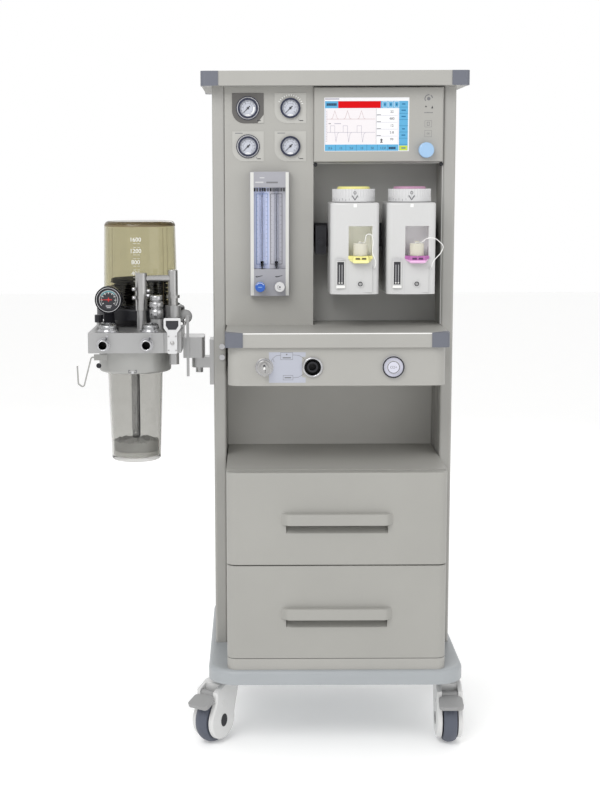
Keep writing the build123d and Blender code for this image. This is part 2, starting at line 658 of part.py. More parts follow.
# ================================================================ upper cabinet
with BuildPart() as upper_cabinet:
    z = (WORKTOP_Z, LID_BOTTOM)
    back = CABINET_DEPTH - SHEET
    for side in (-1, 1):
        block(sorted((side * INNER_X, side * (INNER_X - SHEET))), (SHEET, back), z)
    block((DIVIDER_X - SHEET, DIVIDER_X), (SHEET, back), z)
    block((DIVIDER_X, INNER_X), (BAY_BACK, BAY_BACK + SHEET), (WORKTOP_Z, BAY_TOP))
    block((DIVIDER_X, INNER_X), (SHEET, BAY_BACK + SHEET), (BAY_TOP - SHEET, BAY_TOP))
    block((-INNER_X, INNER_X), (SHEET + 60, back), (LID_BOTTOM - SHEET, LID_BOTTOM))
    block((-INNER_X, INNER_X), (BACK_Y, back), (WORKTOP_Z - WORKTOP_THICK, WORKTOP_Z - WORKTOP_THICK + SHEET))
    block((-INNER_X, INNER_X), (BACK_Y, BACK_Y + SHEET), (WORKTOP_Z - WORKTOP_THICK, WORKTOP_Z + 20))
save(upper_cabinet.part, "upper_cabinet")

with BuildPart() as gauge_panel:
    block((-INNER_X, DIVIDER_X), (0, SHEET), (WORKTOP_Z, LID_BOTTOM))
    for x in GAUGE_X:
        for z in GAUGE_Z:
            with BuildSketch(Plane.XZ):
                with Locations((x, z)):
                    leaf = Rectangle(66.0, 62.0)
                fillet(leaf.vertices().group_by(Axis.X)[0].sort_by(Axis.Z)[0], 26.0)
                fillet(leaf.vertices().group_by(Axis.X)[-1].sort_by(Axis.Z)[-1], 26.0)
            extrude(amount=1.0)
    for x in GAUGE_X:
        for z in GAUGE_Z:
            rod((x, -2, z), (x, SHEET + 1, z), GAUGE_CASE_R, Mode.SUBTRACT)
    block(
        (FLOW_X[0] + 3, FLOW_X[1] - 3),
        (-1, SHEET + 1),
        (FLOW_Z[0] + 3, FLOW_Z[1] - 3),
        mode=Mode.SUBTRACT,
    )
save(gauge_panel.part, "gauge_panel")

with BuildPart() as gauge_cases:
    for x, bezel in zip(GAUGE_X, GAUGE_BEZEL_R):
        for z in GAUGE_Z:
            rod((x, -1, z), (x, GAUGE_DEPTH, z), GAUGE_CASE_R)
            rod((x, -1, z), (x, -GAUGE_PROUD, z), 21.0)
            rod((x, -1, z), (x, -3, z), bezel)
            rod((x, -GAUGE_PROUD - 1, z), (x, -GAUGE_PROUD + 5, z), GAUGE_FACE_R, Mode.SUBTRACT)
            rod((x, -GAUGE_PROUD, z), (x, 4, z), 1.0 + RUNNING, Mode.SUBTRACT)
save(gauge_cases.part, "gauge_cases")


def dial_needle(x, z, face, length, tail, heading):
    """Tapered needle just ahead of a dial face, with a hub and a pin into the movement."""
    with BuildPart() as needle:
        with BuildSketch(Plane(origin=(x, face - 0.5, z), z_dir=(0, -1, 0), x_dir=(1, 0, 0))):
            with Locations(Rotation(0, 0, heading)):
                Polygon((-tail, -1.0), (length, -0.3), (length, 0.3), (-tail, 1.0), align=None)
        extrude(amount=0.6)
        rod((x, face - 0.4, z), (x, face - 1.8, z), 2.2)
        rod((x, face - 0.5, z), (x, face + 5.0, z), 1.0)
    return needle.part


for column, x in zip(("left", "right"), GAUGE_X):
    for row, z in zip(("upper", "lower"), GAUGE_Z):
        save(
            dial_needle(x, z, 5.0 - GAUGE_PROUD, NEEDLE_LENGTH, NEEDLE_TAIL, 225.0),
            f"gauge_needle_{row}_{column}",
        )

with BuildPart() as flowmeter_block:
    block(FLOW_X, (-FLOW_PROUD, 0), FLOW_Z)
    fillet(flowmeter_block.edges().filter_by(Axis.Z).group_by(Axis.Y)[0], 2.0)
    block((FLOW_X[0] + 3, FLOW_X[1] - 3), (-1, FLOW_DEPTH - FLOW_PROUD), (FLOW_Z[0] + 3, FLOW_Z[1] - 3))
    block(
        (FLOW_X[0] + FLOW_RAIL, FLOW_X[1] - FLOW_RAIL),
        (-FLOW_PROUD - 1, -FLOW_PROUD + FLOW_WINDOW_DEPTH),
        FLOW_WINDOW_Z,
        mode=Mode.SUBTRACT,
    )
    tube_y = -FLOW_PROUD + 8.0
    for x in TUBE_X:
        rod((x, tube_y, FLOW_WINDOW_Z[0] - 1), (x, tube_y, FLOW_WINDOW_Z[1] + 1), TUBE_R)
    for x in TUBE_X:
        rod((x, tube_y, FLOW_WINDOW_Z[0] + 1), (x, tube_y, FLOW_WINDOW_Z[1] - 1), TUBE_BORE_R, Mode.SUBTRACT)
    for x in FLOW_KNOB_X:
        rod(
            (x, -FLOW_PROUD - 1, FLOW_KNOB_Z),
            (x, -FLOW_PROUD + 16, FLOW_KNOB_Z),
            SPINDLE_R + RUNNING,
            Mode.SUBTRACT,
        )
save(flowmeter_block.part, "flowmeter_block")

for name, x in zip(("left", "right"), TUBE_X):
    with BuildPart() as flow_float:
        low = FLOW_WINDOW_Z[0] + 1.0
        rod((x, tube_y, low), (x, tube_y, low + 4), 1.4)
        rod((x, tube_y, low + 4), (x, tube_y, low + 4 + FLOAT_HEIGHT), FLOAT_R)
    save(flow_float.part, f"flow_float_{name}")


def fluted_knob(radius, length, flutes, flute_r):
    """Knob that stands up from its own origin along +Z, with flutes round its rim."""
    with BuildPart() as knob:
        Cylinder(radius, length, align=(Align.CENTER, Align.CENTER, Align.MIN))
        fillet(knob.edges().group_by(Axis.Z)[-1], 1.2)
        with PolarLocations(radius + flute_r * 0.6, flutes):
            Cylinder(flute_r, length, align=(Align.CENTER, Align.CENTER, Align.MIN), mode=Mode.SUBTRACT)
    return knob.part


flow_grip = fluted_knob(FLOW_KNOB_R, FLOW_KNOB_LENGTH, 20, 0.8)
for name, x in zip(("left", "right"), FLOW_KNOB_X):
    with BuildPart() as flow_knob:
        start = -FLOW_PROUD - 5.0
        with Locations(Plane(origin=(x, start, FLOW_KNOB_Z), z_dir=(0, -1, 0)).location):
            add(flow_grip)
        rod((x, start - 1, FLOW_KNOB_Z), (x, -FLOW_PROUD - 0.5, FLOW_KNOB_Z), 7.0)
        rod((x, start - 1, FLOW_KNOB_Z), (x, -FLOW_PROUD + 14, FLOW_KNOB_Z), SPINDLE_R)
    save(flow_knob.part, f"flow_knob_{name}")

# ================================================================ vaporizers
with BuildPart() as back_bar:
    block((DIVIDER_X + 5, INNER_X - 8), (VAPORIZER_BACK, BAY_BACK), BAR_Z)
    block((DIVIDER_X + 5, DIVIDER_X + 28), (5, VAPORIZER_BACK), (BAR_Z[0] - 14, BAR_Z[1] - 4))
    bolt_z = BAR_Z[0] + 12
    rod((DIVIDER_X + 16.5, 5, bolt_z), (DIVIDER_X + 16.5, 0, bolt_z), 7.0)
save(back_bar.part, "back_bar")


def vaporizer_body(x):
    """Vaporizer body with a filler niche, hexagonal filler collar, sight glass, drain plug and dial post."""
    half = VAPORIZER_WIDTH / 2
    front = VAPORIZER_FRONT
    niche = x + NICHE_X
    with BuildPart() as body:
        with BuildSketch(Plane.XY.offset(VAPORIZER_Z[0])):
            with BuildLine():
                Line((x + half, front + 16), (x + half, VAPORIZER_BACK))
                Line((x + half, VAPORIZER_BACK), (x - half, VAPORIZER_BACK))
                Line((x - half, VAPORIZER_BACK), (x - half, front + 16))
                RadiusArc((x - half, front + 16), (x - half + 11, front + 5), -11)
                ThreePointArc((x - half + 11, front + 5), (x, front), (x + half - 11, front + 5))
                RadiusArc((x + half - 11, front + 5), (x + half, front + 16), -11)
            make_face()
        extrude(amount=VAPORIZER_Z[1] - VAPORIZER_Z[0])
        fillet(body.edges().group_by(Axis.Z)[-1], 4.0)
        block(
            (niche - NICHE_WIDTH / 2, niche + NICHE_WIDTH / 2),
            (front - 1, front + NICHE_DEPTH),
            NICHE_Z,
            mode=Mode.SUBTRACT,
        )
        block(
            (niche - NICHE_WIDTH / 2, niche + NICHE_WIDTH / 2),
            (front + 1, front + 20),
            (VAPORIZER_Z[0] + 4, NICHE_Z[0]),
        )
        with BuildSketch(Plane.XY.offset(NICHE_Z[0])):
            with Locations((niche, FILLER_Y + 6)):
                RegularPolygon(COLLAR_RADIUS, 6, major_radius=False, rotation=30)
        extrude(amount=COLLAR_THICK)
        rod((niche, FILLER_Y, NICHE_Z[0]), (niche, FILLER_Y, NICHE_Z[0] + 22), FILLER_STEM_R)
        boss = (niche + TETHER_BOSS_X, TETHER_BOSS_Z)
        rod((boss[0], front + 12, boss[1]), (boss[0], front + TETHER_BOSS_Y, boss[1]), 3.2)
        glass_x = x - 29
        block((glass_x - 9.5, glass_x + 9.5), (front - 1, front + 6), (958, 1013))
        block((glass_x - 7, glass_x + 7), (front - 2, front + 1.5), (963, 1010), mode=Mode.SUBTRACT)
        rod((niche, front + 2, 964.5), (niche, front - 2, 964.5), 6.5)
        with BuildSketch(Plane.XZ.offset(-front + 2)):
            with Locations((niche, 964.5)):
                RegularPolygon(3.0, 6)
        extrude(amount=-3, mode=Mode.SUBTRACT)
        top = VAPORIZER_Z[1]
        rod((x, DIAL_Y, top - 1), (x, DIAL_Y, top + DIAL_GAP - 0.5), DIAL_R - 6)
        rod((x, DIAL_Y, top), (x, DIAL_Y, top + 20), 5.0)
    return body.part


vaporizer_pair = [vaporizer_body(x) for x in VAPORIZER_X]
save(vaporizer_pair[0] + vaporizer_pair[1], "vaporizer_bodies")


def vaporizer_dial(x):
    """Ribbed concentration dial with a domed cap and a blind bore for its post."""
    low = VAPORIZER_Z[1] + DIAL_GAP
    with BuildPart() as dial:
        with Locations((x, DIAL_Y, low)):
            Cylinder(DIAL_R, DIAL_RING, align=(Align.CENTER, Align.CENTER, Align.MIN))
        with BuildSketch(Plane.XY.offset(low + DIAL_RING)):
            with Locations((x, DIAL_Y)):
                Circle(DIAL_R - 0.5)
                with PolarLocations(DIAL_R, DIAL_RIBS):
                    Circle(1.6, mode=Mode.SUBTRACT)
        extrude(amount=DIAL_HEIGHT - DIAL_RING - 5)
        with Locations((x, DIAL_Y, low + DIAL_HEIGHT - 5.5)):
            Cylinder(DIAL_CAP_R, 5.5, align=(Align.CENTER, Align.CENTER, Align.MIN))
        fillet(dial.edges().group_by(Axis.Z)[-1], 4.0)
        rod((x, DIAL_Y, low), (x, DIAL_Y, low + 20), 5.0 + RUNNING, Mode.SUBTRACT)
    return dial.part


filler_grip = fluted_knob(FILLER_CAP_R, FILLER_CAP_HEIGHT, 24, 1.0)


def filler_cap(x):
    """Knurled screw cap over the filler stem, with a post for its tether's ring."""
    low = NICHE_Z[0] + COLLAR_THICK + 0.5
    with BuildPart() as cap:
        with Locations((x, FILLER_Y, low)):
            add(filler_grip)
        rod((x, FILLER_Y, low + FILLER_CAP_HEIGHT - 1), (x, FILLER_Y, low + FILLER_CAP_HEIGHT + 4), 2.5)
        rod((x, FILLER_Y, low + FILLER_CAP_HEIGHT + 3), (x, FILLER_Y, low + FILLER_CAP_HEIGHT + 5), 4.5)
        rod((x, FILLER_Y, low), (x, FILLER_Y, low + 17), FILLER_STEM_R + RUNNING, Mode.SUBTRACT)
    return cap.part


def bend_radii(route):
    """Bend radius at each inner corner: 0.45 of the shorter run over the tangent of half the turn."""
    points = [Vector(*point) for point in route]
    radii = []
    for before, corner, after in zip(points, points[1:], points[2:]):
        run_in = corner - before
        run_out = after - corner
        half_turn = radians(run_in.get_angle(run_out)) / 2
        radii.append(0.45 * min(run_in.length, run_out.length) / tan(half_turn))
    return radii


def cap_tether(x, loop):
    """Thin cord: a ring round the cap's post, a loop of four (x, z) bends and an end on the body's boss."""
    z = TETHER_Z
    y = FILLER_Y - 15
    end_x = x + TETHER_BOSS_X
    start = ((x + 3.6, FILLER_Y, z), (x + 9, FILLER_Y - 10, z + 0.4))
    bends = [(x + dx, y, z + dz) for dx, dz in loop]
    finish = (
        (end_x + 3, FILLER_Y - 19, z - 38),
        (end_x, FILLER_Y - 17, TETHER_BOSS_Z),
        (end_x, VAPORIZER_FRONT + TETHER_BOSS_Y, TETHER_BOSS_Z),
    )
    route = (*start, *bends, *finish)
    radii = bend_radii(route)
    print("tether bend radii", [round(radius, 1) for radius in radii], "cord diameter", 2 * TETHER_R)
    with BuildPart() as tether:
        with BuildLine() as run:
            FilletPolyline(*route, radius=radii)
        with BuildSketch(Plane(origin=run.line @ 0, z_dir=run.line % 0)):
            Circle(TETHER_R)
        sweep()
        with BuildSketch(Plane.XY.offset(z - 0.8)):
            with Locations((x, FILLER_Y)):
                Circle(4.4)
                Circle(2.9, mode=Mode.SUBTRACT)
        extrude(amount=1.6)
    print("tether length", round(sum(edge.length for edge in run.edges()), 1))
    return tether.part


TETHER_LOOPS = (
    ((11, 18), (22, 18), (26, 3), (23, -20)),
    ((19, 10), (36, 10), (54, -6), (49, -20)),
)
for name, x in zip(("left", "right"), VAPORIZER_X):
    save(vaporizer_dial(x), f"vaporizer_dial_{name}")
    save(filler_cap(x + NICHE_X), f"filler_cap_{name}")
tether_pair = [cap_tether(x + NICHE_X, loop) for x, loop in zip(VAPORIZER_X, TETHER_LOOPS)]
save(tether_pair[0] + tether_pair[1], "cap_tethers")

# ================================================================ monitor
SCREEN_MID = (sum(SCREEN_X) / 2, sum(SCREEN_Z) / 2)
SCREEN_SIZE = (SCREEN_X[1] - SCREEN_X[0], SCREEN_Z[1] - SCREEN_Z[0])
with BuildPart() as monitor_housing:
    block(MONITOR_X, (-MONITOR_PROUD, MONITOR_DEPTH), MONITOR_Z)
    fillet(monitor_housing.edges().group_by(Axis.Y)[0], 3.0)
    block(
        (MONITOR_X[0] + 3, MONITOR_X[1] - 3),
        (-MONITOR_PROUD + 6, MONITOR_DEPTH + 1),
        (MONITOR_Z[0] + 3, MONITOR_Z[1] - 3),
        mode=Mode.SUBTRACT,
    )
    with BuildSketch(Plane.XZ.offset(MONITOR_PROUD)):
        with Locations(SCREEN_MID):
            Rectangle(*SCREEN_SIZE)
    extrude(amount=-7, mode=Mode.SUBTRACT)
    rod((ENCODER[0], -MONITOR_PROUD + 5, ENCODER[1]), (ENCODER[0], 8, ENCODER[1]), 8.0)
    rod(
        (ENCODER[0], -MONITOR_PROUD - 1, ENCODER[1]),
        (ENCODER[0], 5, ENCODER[1]),
        SPINDLE_R + RUNNING,
        Mode.SUBTRACT,
    )
save(monitor_housing.part, "monitor_housing")

with BuildPart() as monitor_screen:
    with BuildSketch(Plane.XZ.offset(MONITOR_PROUD - 1.5)):
        with Locations(SCREEN_MID):
            Rectangle(*SCREEN_SIZE)
    extrude(amount=-5)
save(monitor_screen.part, "monitor_screen")

encoder_grip = fluted_knob(ENCODER_R, ENCODER_LENGTH, 30, 0.8)
with BuildPart() as encoder_knob:
    with Locations(Plane(origin=(ENCODER[0], -MONITOR_PROUD - 1, ENCODER[1]), z_dir=(0, -1, 0)).location):
        add(encoder_grip)
    rod((ENCODER[0], -MONITOR_PROUD - 2, ENCODER[1]), (ENCODER[0], 4, ENCODER[1]), SPINDLE_R)
save(encoder_knob.part, "encoder_knob")

# ================================================================ lid and rear cover
save(
    capped_slab(LID_WIDTH / 2, (-LID_FRONT, CABINET_DEPTH + LID_BACK), (LID_BOTTOM, HEIGHT), True),
    "top_lid",
)

REAR_Y = CABINET_DEPTH
INLET_X = (-120.0, -60.0)
INLET_Z = 930.0
INLET_R = 8.0
INLET_LENGTH = 20.0
SCAVENGE = (60.0, 930.0)
SCAVENGE_R = 9.5
POWER = (150.0, 930.0)
with BuildPart() as rear_cover:
    block((-INNER_X, INNER_X), (REAR_Y - SHEET, REAR_Y), (BASE_TOP, LID_BOTTOM))
    for x in INLET_X:
        with BuildSketch(Plane.XZ.offset(-REAR_Y)):
            with Locations((x, INLET_Z)):
                RegularPolygon(13.0, 6)
        extrude(amount=-6)
        rod((x, REAR_Y, INLET_Z), (x, REAR_Y + 6 + INLET_LENGTH, INLET_Z), INLET_R)
        rod((x, REAR_Y - 1, INLET_Z), (x, REAR_Y + 7 + INLET_LENGTH, INLET_Z), 3.5, Mode.SUBTRACT)
    rod((SCAVENGE[0], REAR_Y, SCAVENGE[1]), (SCAVENGE[0], REAR_Y + 28, SCAVENGE[1]), SCAVENGE_R)
    rod((SCAVENGE[0], REAR_Y - 3, SCAVENGE[1]), (SCAVENGE[0], REAR_Y + 29, SCAVENGE[1]), 7.5, Mode.SUBTRACT)
    block((POWER[0] - 25, POWER[0] + 25), (REAR_Y - 28, REAR_Y + 3), (POWER[1] - 16, POWER[1] + 16))
    block(
        (POWER[0] - 12, POWER[0] + 12),
        (REAR_Y - 14, REAR_Y + 4),
        (POWER[1] - 8, POWER[1] + 8),
        mode=Mode.SUBTRACT,
    )
save(rear_cover.part, "rear_cover")

# ================================================================ swivel arm
COLUMN_OUT_X = -CABINET_WIDTH / 2
PX, PY = PIVOT
with BuildPart() as column_bracket:
    block((COLUMN_OUT_X - 9, COLUMN_OUT_X), (8, 68), (743, 840))
    block((PX - 16, COLUMN_OUT_X - 8), (PY - 20, PY + 20), BRACKET_Z)
    fillet(column_bracket.edges().filter_by(Axis.Z).group_by(Axis.X)[0], 12.0)
    rod((PX, PY, BRACKET_Z[0] - 12), (PX, PY, ARM_Z[1] - 6), PIVOT_R)
    for z in (803.0, 826.0):
        rod((-237, 0, z), (-237, -4, z), 6.0)
save(column_bracket.part, "column_bracket")

with BuildPart() as swivel_arm:
    block((BLOCK_X[2], PX + 12), (PY - 55, PY + 25), ARM_Z)
    fillet(swivel_arm.edges().filter_by(Axis.Z).group_by(Axis.X)[-1], 6.0)
    rod((PX, PY, ARM_Z[0]), (PX, PY, ARM_Z[1] - 4), PIVOT_R + RUNNING, Mode.SUBTRACT)
    block((-312, -306), (PY - 58, PY - 55), (765, 895))
save(swivel_arm.part, "swivel_arm")

# ================================================================ manifold block
LOW, TOP = BLOCK_Z
FRONT_Y = BLOCK_Y[0]
with BuildPart() as manifold_block:
    block((BLOCK_X[0], BLOCK_X[1]), (BLOCK_Y[0], BLOCK_Y[2]), BLOCK_Z)
    block((BLOCK_X[1] - 1, BLOCK_X[2]), (BLOCK_Y[0] + 4, BLOCK_Y[1]), BLOCK_Z)
    fillet(manifold_block.edges().filter_by(Axis.Z).group_by(Axis.Y)[-1], 30.0)
    for x in PORT_X:
        rod((x, FRONT_Y, PORT_Z), (x, FRONT_Y - PORT_LENGTH, PORT_Z), PORT_R)
        rod((x, FRONT_Y, PORT_Z), (x, FRONT_Y - 6, PORT_Z), PORT_R + 3)
        rod((x, FRONT_Y + 20, PORT_Z), (x, FRONT_Y - PORT_LENGTH - 1, PORT_Z), PORT_BORE_R, Mode.SUBTRACT)
    for x in VALVE_X:
        rod((x, VALVE_Y, TOP), (x, VALVE_Y, TOP + 5), VALVE_R)
        with Locations((x, VALVE_Y, TOP + 5)):
            Cylinder(VALVE_R - 2, VALVE_HEIGHT - 5, align=(Align.CENTER, Align.CENTER, Align.MIN))
        fillet(manifold_block.edges().group_by(Axis.Z)[-1], 5.0)
    rod((*APL, TOP), (*APL, TOP + 22), APL_R - 2)
    rod((*APL, TOP + 22), (*APL, TOP + 60), 5.0)
    bag_port = (LEVER_X, FRONT_Y + 45)
    rod((*bag_port, LOW), (*bag_port, LOW - 28), PORT_R)
    rod((*bag_port, LOW + 10), (*bag_port, LOW - 29), PORT_BORE_R, Mode.SUBTRACT)
    rod((LEVER_X, FRONT_Y + 5, LEVER_PIN_Z), (LEVER_X, FRONT_Y - 12, LEVER_PIN_Z), 4.0)
    rod((MANOMETER[0], MANOMETER[1] + 12, TOP), (MANOMETER[0], MANOMETER[1] + 12, TOP + 22), 9.0)
    rod((MANOMETER[0], MANOMETER[1] + 12, TOP), (MANOMETER[0], MANOMETER[1] + 12, TOP + 34), 5.0)
    rod((BLOCK_X[0] + 10, 20, TOP), (BLOCK_X[0] + 10, 20, TOP + 12), 5.0)
    rod((BLOCK_X[0] + 10, 20, TOP + 10), (BLOCK_X[0] + 10, 20, TOP + 26), 9.0)
    rod((*TUBE_LEFT, TOP), (*TUBE_LEFT, TOP + 38), 10.0)
    rod((*TUBE_RIGHT, TOP), (*TUBE_RIGHT, TOP + 23), 11.0)
    rod((*TUBE_RIGHT, TOP + 23), (*TUBE_RIGHT, TOP + 47), 17.0)
save(manifold_block.part, "manifold_block")

with BuildPart() as transfer_tube:
    link_z = 980.0
    rod((*TUBE_LEFT, TOP + 38), (*TUBE_LEFT, link_z + 4), 12.5)
    rod((*TUBE_RIGHT, TOP + 47), (*TUBE_RIGHT, link_z + 10), 10.5)
    fillet(transfer_tube.edges().group_by(Axis.Z)[-1], 3.0)
    start = Vector(*TUBE_LEFT, link_z - 8)
    end = Vector(*TUBE_RIGHT, link_z - 8)
    with Locations(Plane(origin=start, z_dir=(end - start).normalized())):
        Cylinder(7.0, (end - start).length, align=(Align.CENTER, Align.CENTER, Align.MIN))
    for point in (TUBE_LEFT, TUBE_RIGHT):
        rod((*point, link_z - 50), (*point, link_z - 44), 14.5)
save(transfer_tube.part, "transfer_tube")

# ================================================================ valves, lever and manometer
apl_grip = fluted_knob(APL_R, APL_HEIGHT, 18, 1.2)
with BuildPart() as apl_knob:
    with Locations((*APL, TOP + 22.5)):
        add(apl_grip)
    rod((*APL, TOP + 22), (*APL, TOP + 62), 5.0 + RUNNING, Mode.SUBTRACT)
save(apl_knob.part, "apl_knob")

with BuildPart() as bag_lever:
    face = FRONT_Y - 1.0
    with BuildSketch(Plane.XZ.offset(-face)):
        with BuildLine():
            Polyline(
                (LEVER_X - 10, 825),
                (LEVER_X - 10, 868),
                (LEVER_X - 17.5, 878),
                (LEVER_X - 17.5, 898),
                (LEVER_X + 17.5, 898),
                (LEVER_X + 17.5, 878),
                (LEVER_X + 10, 868),
                (LEVER_X + 10, 825),
                (LEVER_X - 10, 825),
            )
        make_face()
    extrude(amount=10)
    fillet(bag_lever.edges().filter_by(Axis.Y), 3.0)
    with BuildSketch(Plane.XZ.offset(-face + 10)):
        with BuildLine():
            Polyline(
                (LEVER_X - 8, 874),
                (LEVER_X - 13, 882),
                (LEVER_X - 13, 893),
                (LEVER_X + 13, 893),
                (LEVER_X + 13, 882),
                (LEVER_X + 8, 874),
                (LEVER_X - 8, 874),
            )
        make_face()
    extrude(amount=-3, mode=Mode.SUBTRACT)
    rod((LEVER_X, face + 1, LEVER_PIN_Z), (LEVER_X, face - 12, LEVER_PIN_Z), 4.0 + RUNNING, Mode.SUBTRACT)
save(bag_lever.part, "bag_lever")

MX, MY, MZ = MANOMETER
with BuildPart() as manometer_case:
    rod((MX, MY, MZ), (MX, MY + MANOMETER_DEPTH, MZ), MANOMETER_R)
    fillet(manometer_case.edges().group_by(Axis.Y)[-1], 3.0)
    block((MX - 6, MX + 6), (MY + 6, MY + 18), (TOP + 34, MZ))
    rod((MX, MY - 1, MZ), (MX, MY + 5, MZ), MANOMETER_R - 4, Mode.SUBTRACT)
    rod((MX, MY, MZ), (MX, MY + 14, MZ), 1.0 + RUNNING, Mode.SUBTRACT)
save(manometer_case.part, "manometer_case")
save(dial_needle(MX, MZ, MY + 5.0, 19.0, 7.0, 180.0), "manometer_needle")

# ================================================================ canister
CX, CY = CANISTER
with BuildPart() as canister_head:
    rod((CX, CY, HEAD_Z[0]), (CX, CY, HEAD_Z[1]), HEAD_R)
    fillet(canister_head.edges().group_by(Axis.Z)[0], 5.0)
    rod((CX, CY, HEAD_Z[0] - 1), (CX, CY, HEAD_Z[0] + 22), CANISTER_R[1] + 1.0, Mode.SUBTRACT)
    rod((CX, CY, HEAD_Z[0] + 21), (CX, CY, CANISTER_Z[0] + 60), 9.0)
    rod((CX, CY, HEAD_Z[0] + 15), (CX, CY, CANISTER_Z[0] + 59), 6.5, Mode.SUBTRACT)
    with BuildLine(Plane.XZ.offset(70)) as hook_run:
        FilletPolyline(
            (BLOCK_X[0] + 12, 812), (BLOCK_X[0] + 2, 812), (-526, 748), (HOOK_TIP_X + 3, 756),
            (HOOK_TIP_X + 1.5, 794), radius=4.0,
        )
    with BuildSketch(Plane(origin=hook_run.line @ 0, z_dir=hook_run.line % 0)):
        Rectangle(HOOK_THICK, HOOK_THICK)
    sweep()
    block((BLOCK_X[0] + 8, CX), (-73, -67), (806, 818))
save(canister_head.part, "canister_head")

with BuildPart() as canister:
    low, high = CANISTER_Z
    r_low, r_high = CANISTER_R
    with BuildSketch(Plane.XZ):
        with BuildLine():
            Polyline(
                (0, low),
                (r_low - 3, low),
                (r_low, low + 3),
                (r_high - 0.5, HEAD_Z[0] - 6),
                (r_high, HEAD_Z[0] - 6),
                (r_high, high),
                (r_high - CANISTER_WALL, high),
                (r_high - CANISTER_WALL - 0.5, HEAD_Z[0] - 6),
                (r_low - CANISTER_WALL, low + 8),
                (0, low + 8),
                (0, low),
            )
        make_face()
    revolve(axis=Axis.Z)
canister_placed = canister.part.moved(Location((CX, CY, 0)))
save(canister_placed, "canister")

# ================================================================ bellows assembly
BX, BY = BELLOWS
BASE_LOW, BASE_HIGH = BELLOWS_BASE_Z
with BuildPart() as bellows_base:
    rod((BX, BY, TOP), (BX, BY, BASE_LOW + 1), RISER_R)
    rod((BX, BY, BASE_LOW), (BX, BY, BASE_HIGH), BELLOWS_BASE_R)
    fillet(bellows_base.edges().group_by(Axis.Z)[-1], 5.0)
    rod((BX, BY, BASE_HIGH - 1), (BX, BY, BASE_HIGH + 8), DOME_R[0] - DOME_WALL - 1.0)
    rod((BX, BY, BASE_HIGH), (BX, BY, BASE_HIGH + 9), BELLOWS_R + 2.0, Mode.SUBTRACT)
save(bellows_base.part, "bellows_base")

with BuildPart() as bellows_dome:
    with BuildSketch(Plane.XZ):
        with BuildLine():
            r_low, r_high = DOME_R
            Polyline(
                (r_low + 6, BASE_HIGH),
                (r_low + 6, BASE_HIGH + 4),
                (r_low, BASE_HIGH + 4),
                (r_high, DOME_TOP - 10),
            )
            RadiusArc((r_high, DOME_TOP - 10), (r_high - 10, DOME_TOP), -10)
            Polyline((r_high - 10, DOME_TOP), (0, DOME_TOP), (0, DOME_TOP - DOME_WALL))
            Polyline(
                (0, DOME_TOP - DOME_WALL),
                (r_high - DOME_WALL - 4, DOME_TOP - DOME_WALL),
                (r_high - DOME_WALL, DOME_TOP - DOME_WALL - 6),
                (r_low - DOME_WALL, BASE_HIGH),
                (r_low + 6, BASE_HIGH),
            )
        make_face()
    revolve(axis=Axis.Z)
save(bellows_dome.part.moved(Location((BX, BY, 0))), "bellows_dome")

FOLD = (BELLOWS_TOP - BASE_HIGH) / BELLOWS_FOLDS
with BuildPart() as bellows:
    outer = [(BELLOWS_R - 12.0 * (i % 2), BASE_HIGH + FOLD * i / 2) for i in range(2 * BELLOWS_FOLDS + 1)]
    inner = [(r - 2.0, z) for r, z in reversed(outer)]
    with BuildSketch(Plane.XZ):
        with BuildLine():
            Polyline(*outer, *inner, outer[0])
        make_face()
    revolve(axis=Axis.Z)
save(bellows.part.moved(Location((BX, BY, 0))), "bellows")

with BuildPart() as bellows_disc:
    rod((BX, BY, BELLOWS_TOP), (BX, BY, BELLOWS_TOP + DISC_THICK), BELLOWS_R - 2)
    fillet(bellows_disc.edges().group_by(Axis.Z)[-1], 3.0)
save(bellows_disc.part, "bellows_disc")
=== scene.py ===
"""Looks of the veterinary anesthesia machine: materials, printed details, glass, camera and light.

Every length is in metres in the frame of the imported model. P() turns trolley millimetres (X from the
trolley's middle, Y from the column fronts, Z from the floor) into that frame.
"""

import math
import random

import bmesh
import bpy
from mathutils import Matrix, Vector


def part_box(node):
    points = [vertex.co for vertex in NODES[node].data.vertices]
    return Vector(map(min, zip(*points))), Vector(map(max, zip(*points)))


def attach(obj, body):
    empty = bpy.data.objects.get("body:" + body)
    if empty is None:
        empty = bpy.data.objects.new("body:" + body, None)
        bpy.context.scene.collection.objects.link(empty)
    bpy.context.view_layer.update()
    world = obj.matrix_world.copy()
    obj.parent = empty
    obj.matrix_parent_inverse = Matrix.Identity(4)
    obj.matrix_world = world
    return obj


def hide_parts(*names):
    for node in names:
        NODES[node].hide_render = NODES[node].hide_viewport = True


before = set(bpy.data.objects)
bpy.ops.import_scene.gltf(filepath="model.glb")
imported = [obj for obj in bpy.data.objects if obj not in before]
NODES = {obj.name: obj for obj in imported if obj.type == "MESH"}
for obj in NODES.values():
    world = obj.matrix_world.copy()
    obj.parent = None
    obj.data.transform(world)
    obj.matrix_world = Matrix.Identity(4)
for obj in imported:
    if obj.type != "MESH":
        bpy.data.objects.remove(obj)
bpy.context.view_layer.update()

MM = 0.001
_low, _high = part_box("side_columns")
TROLLEY_X = (_low.x + _high.x) / 2
FRONT_Y = _low.y


def P(x, y, z):
    """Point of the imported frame, in metres, from trolley millimetres."""
    return Vector((TROLLEY_X + x * MM, FRONT_Y + y * MM, z * MM))


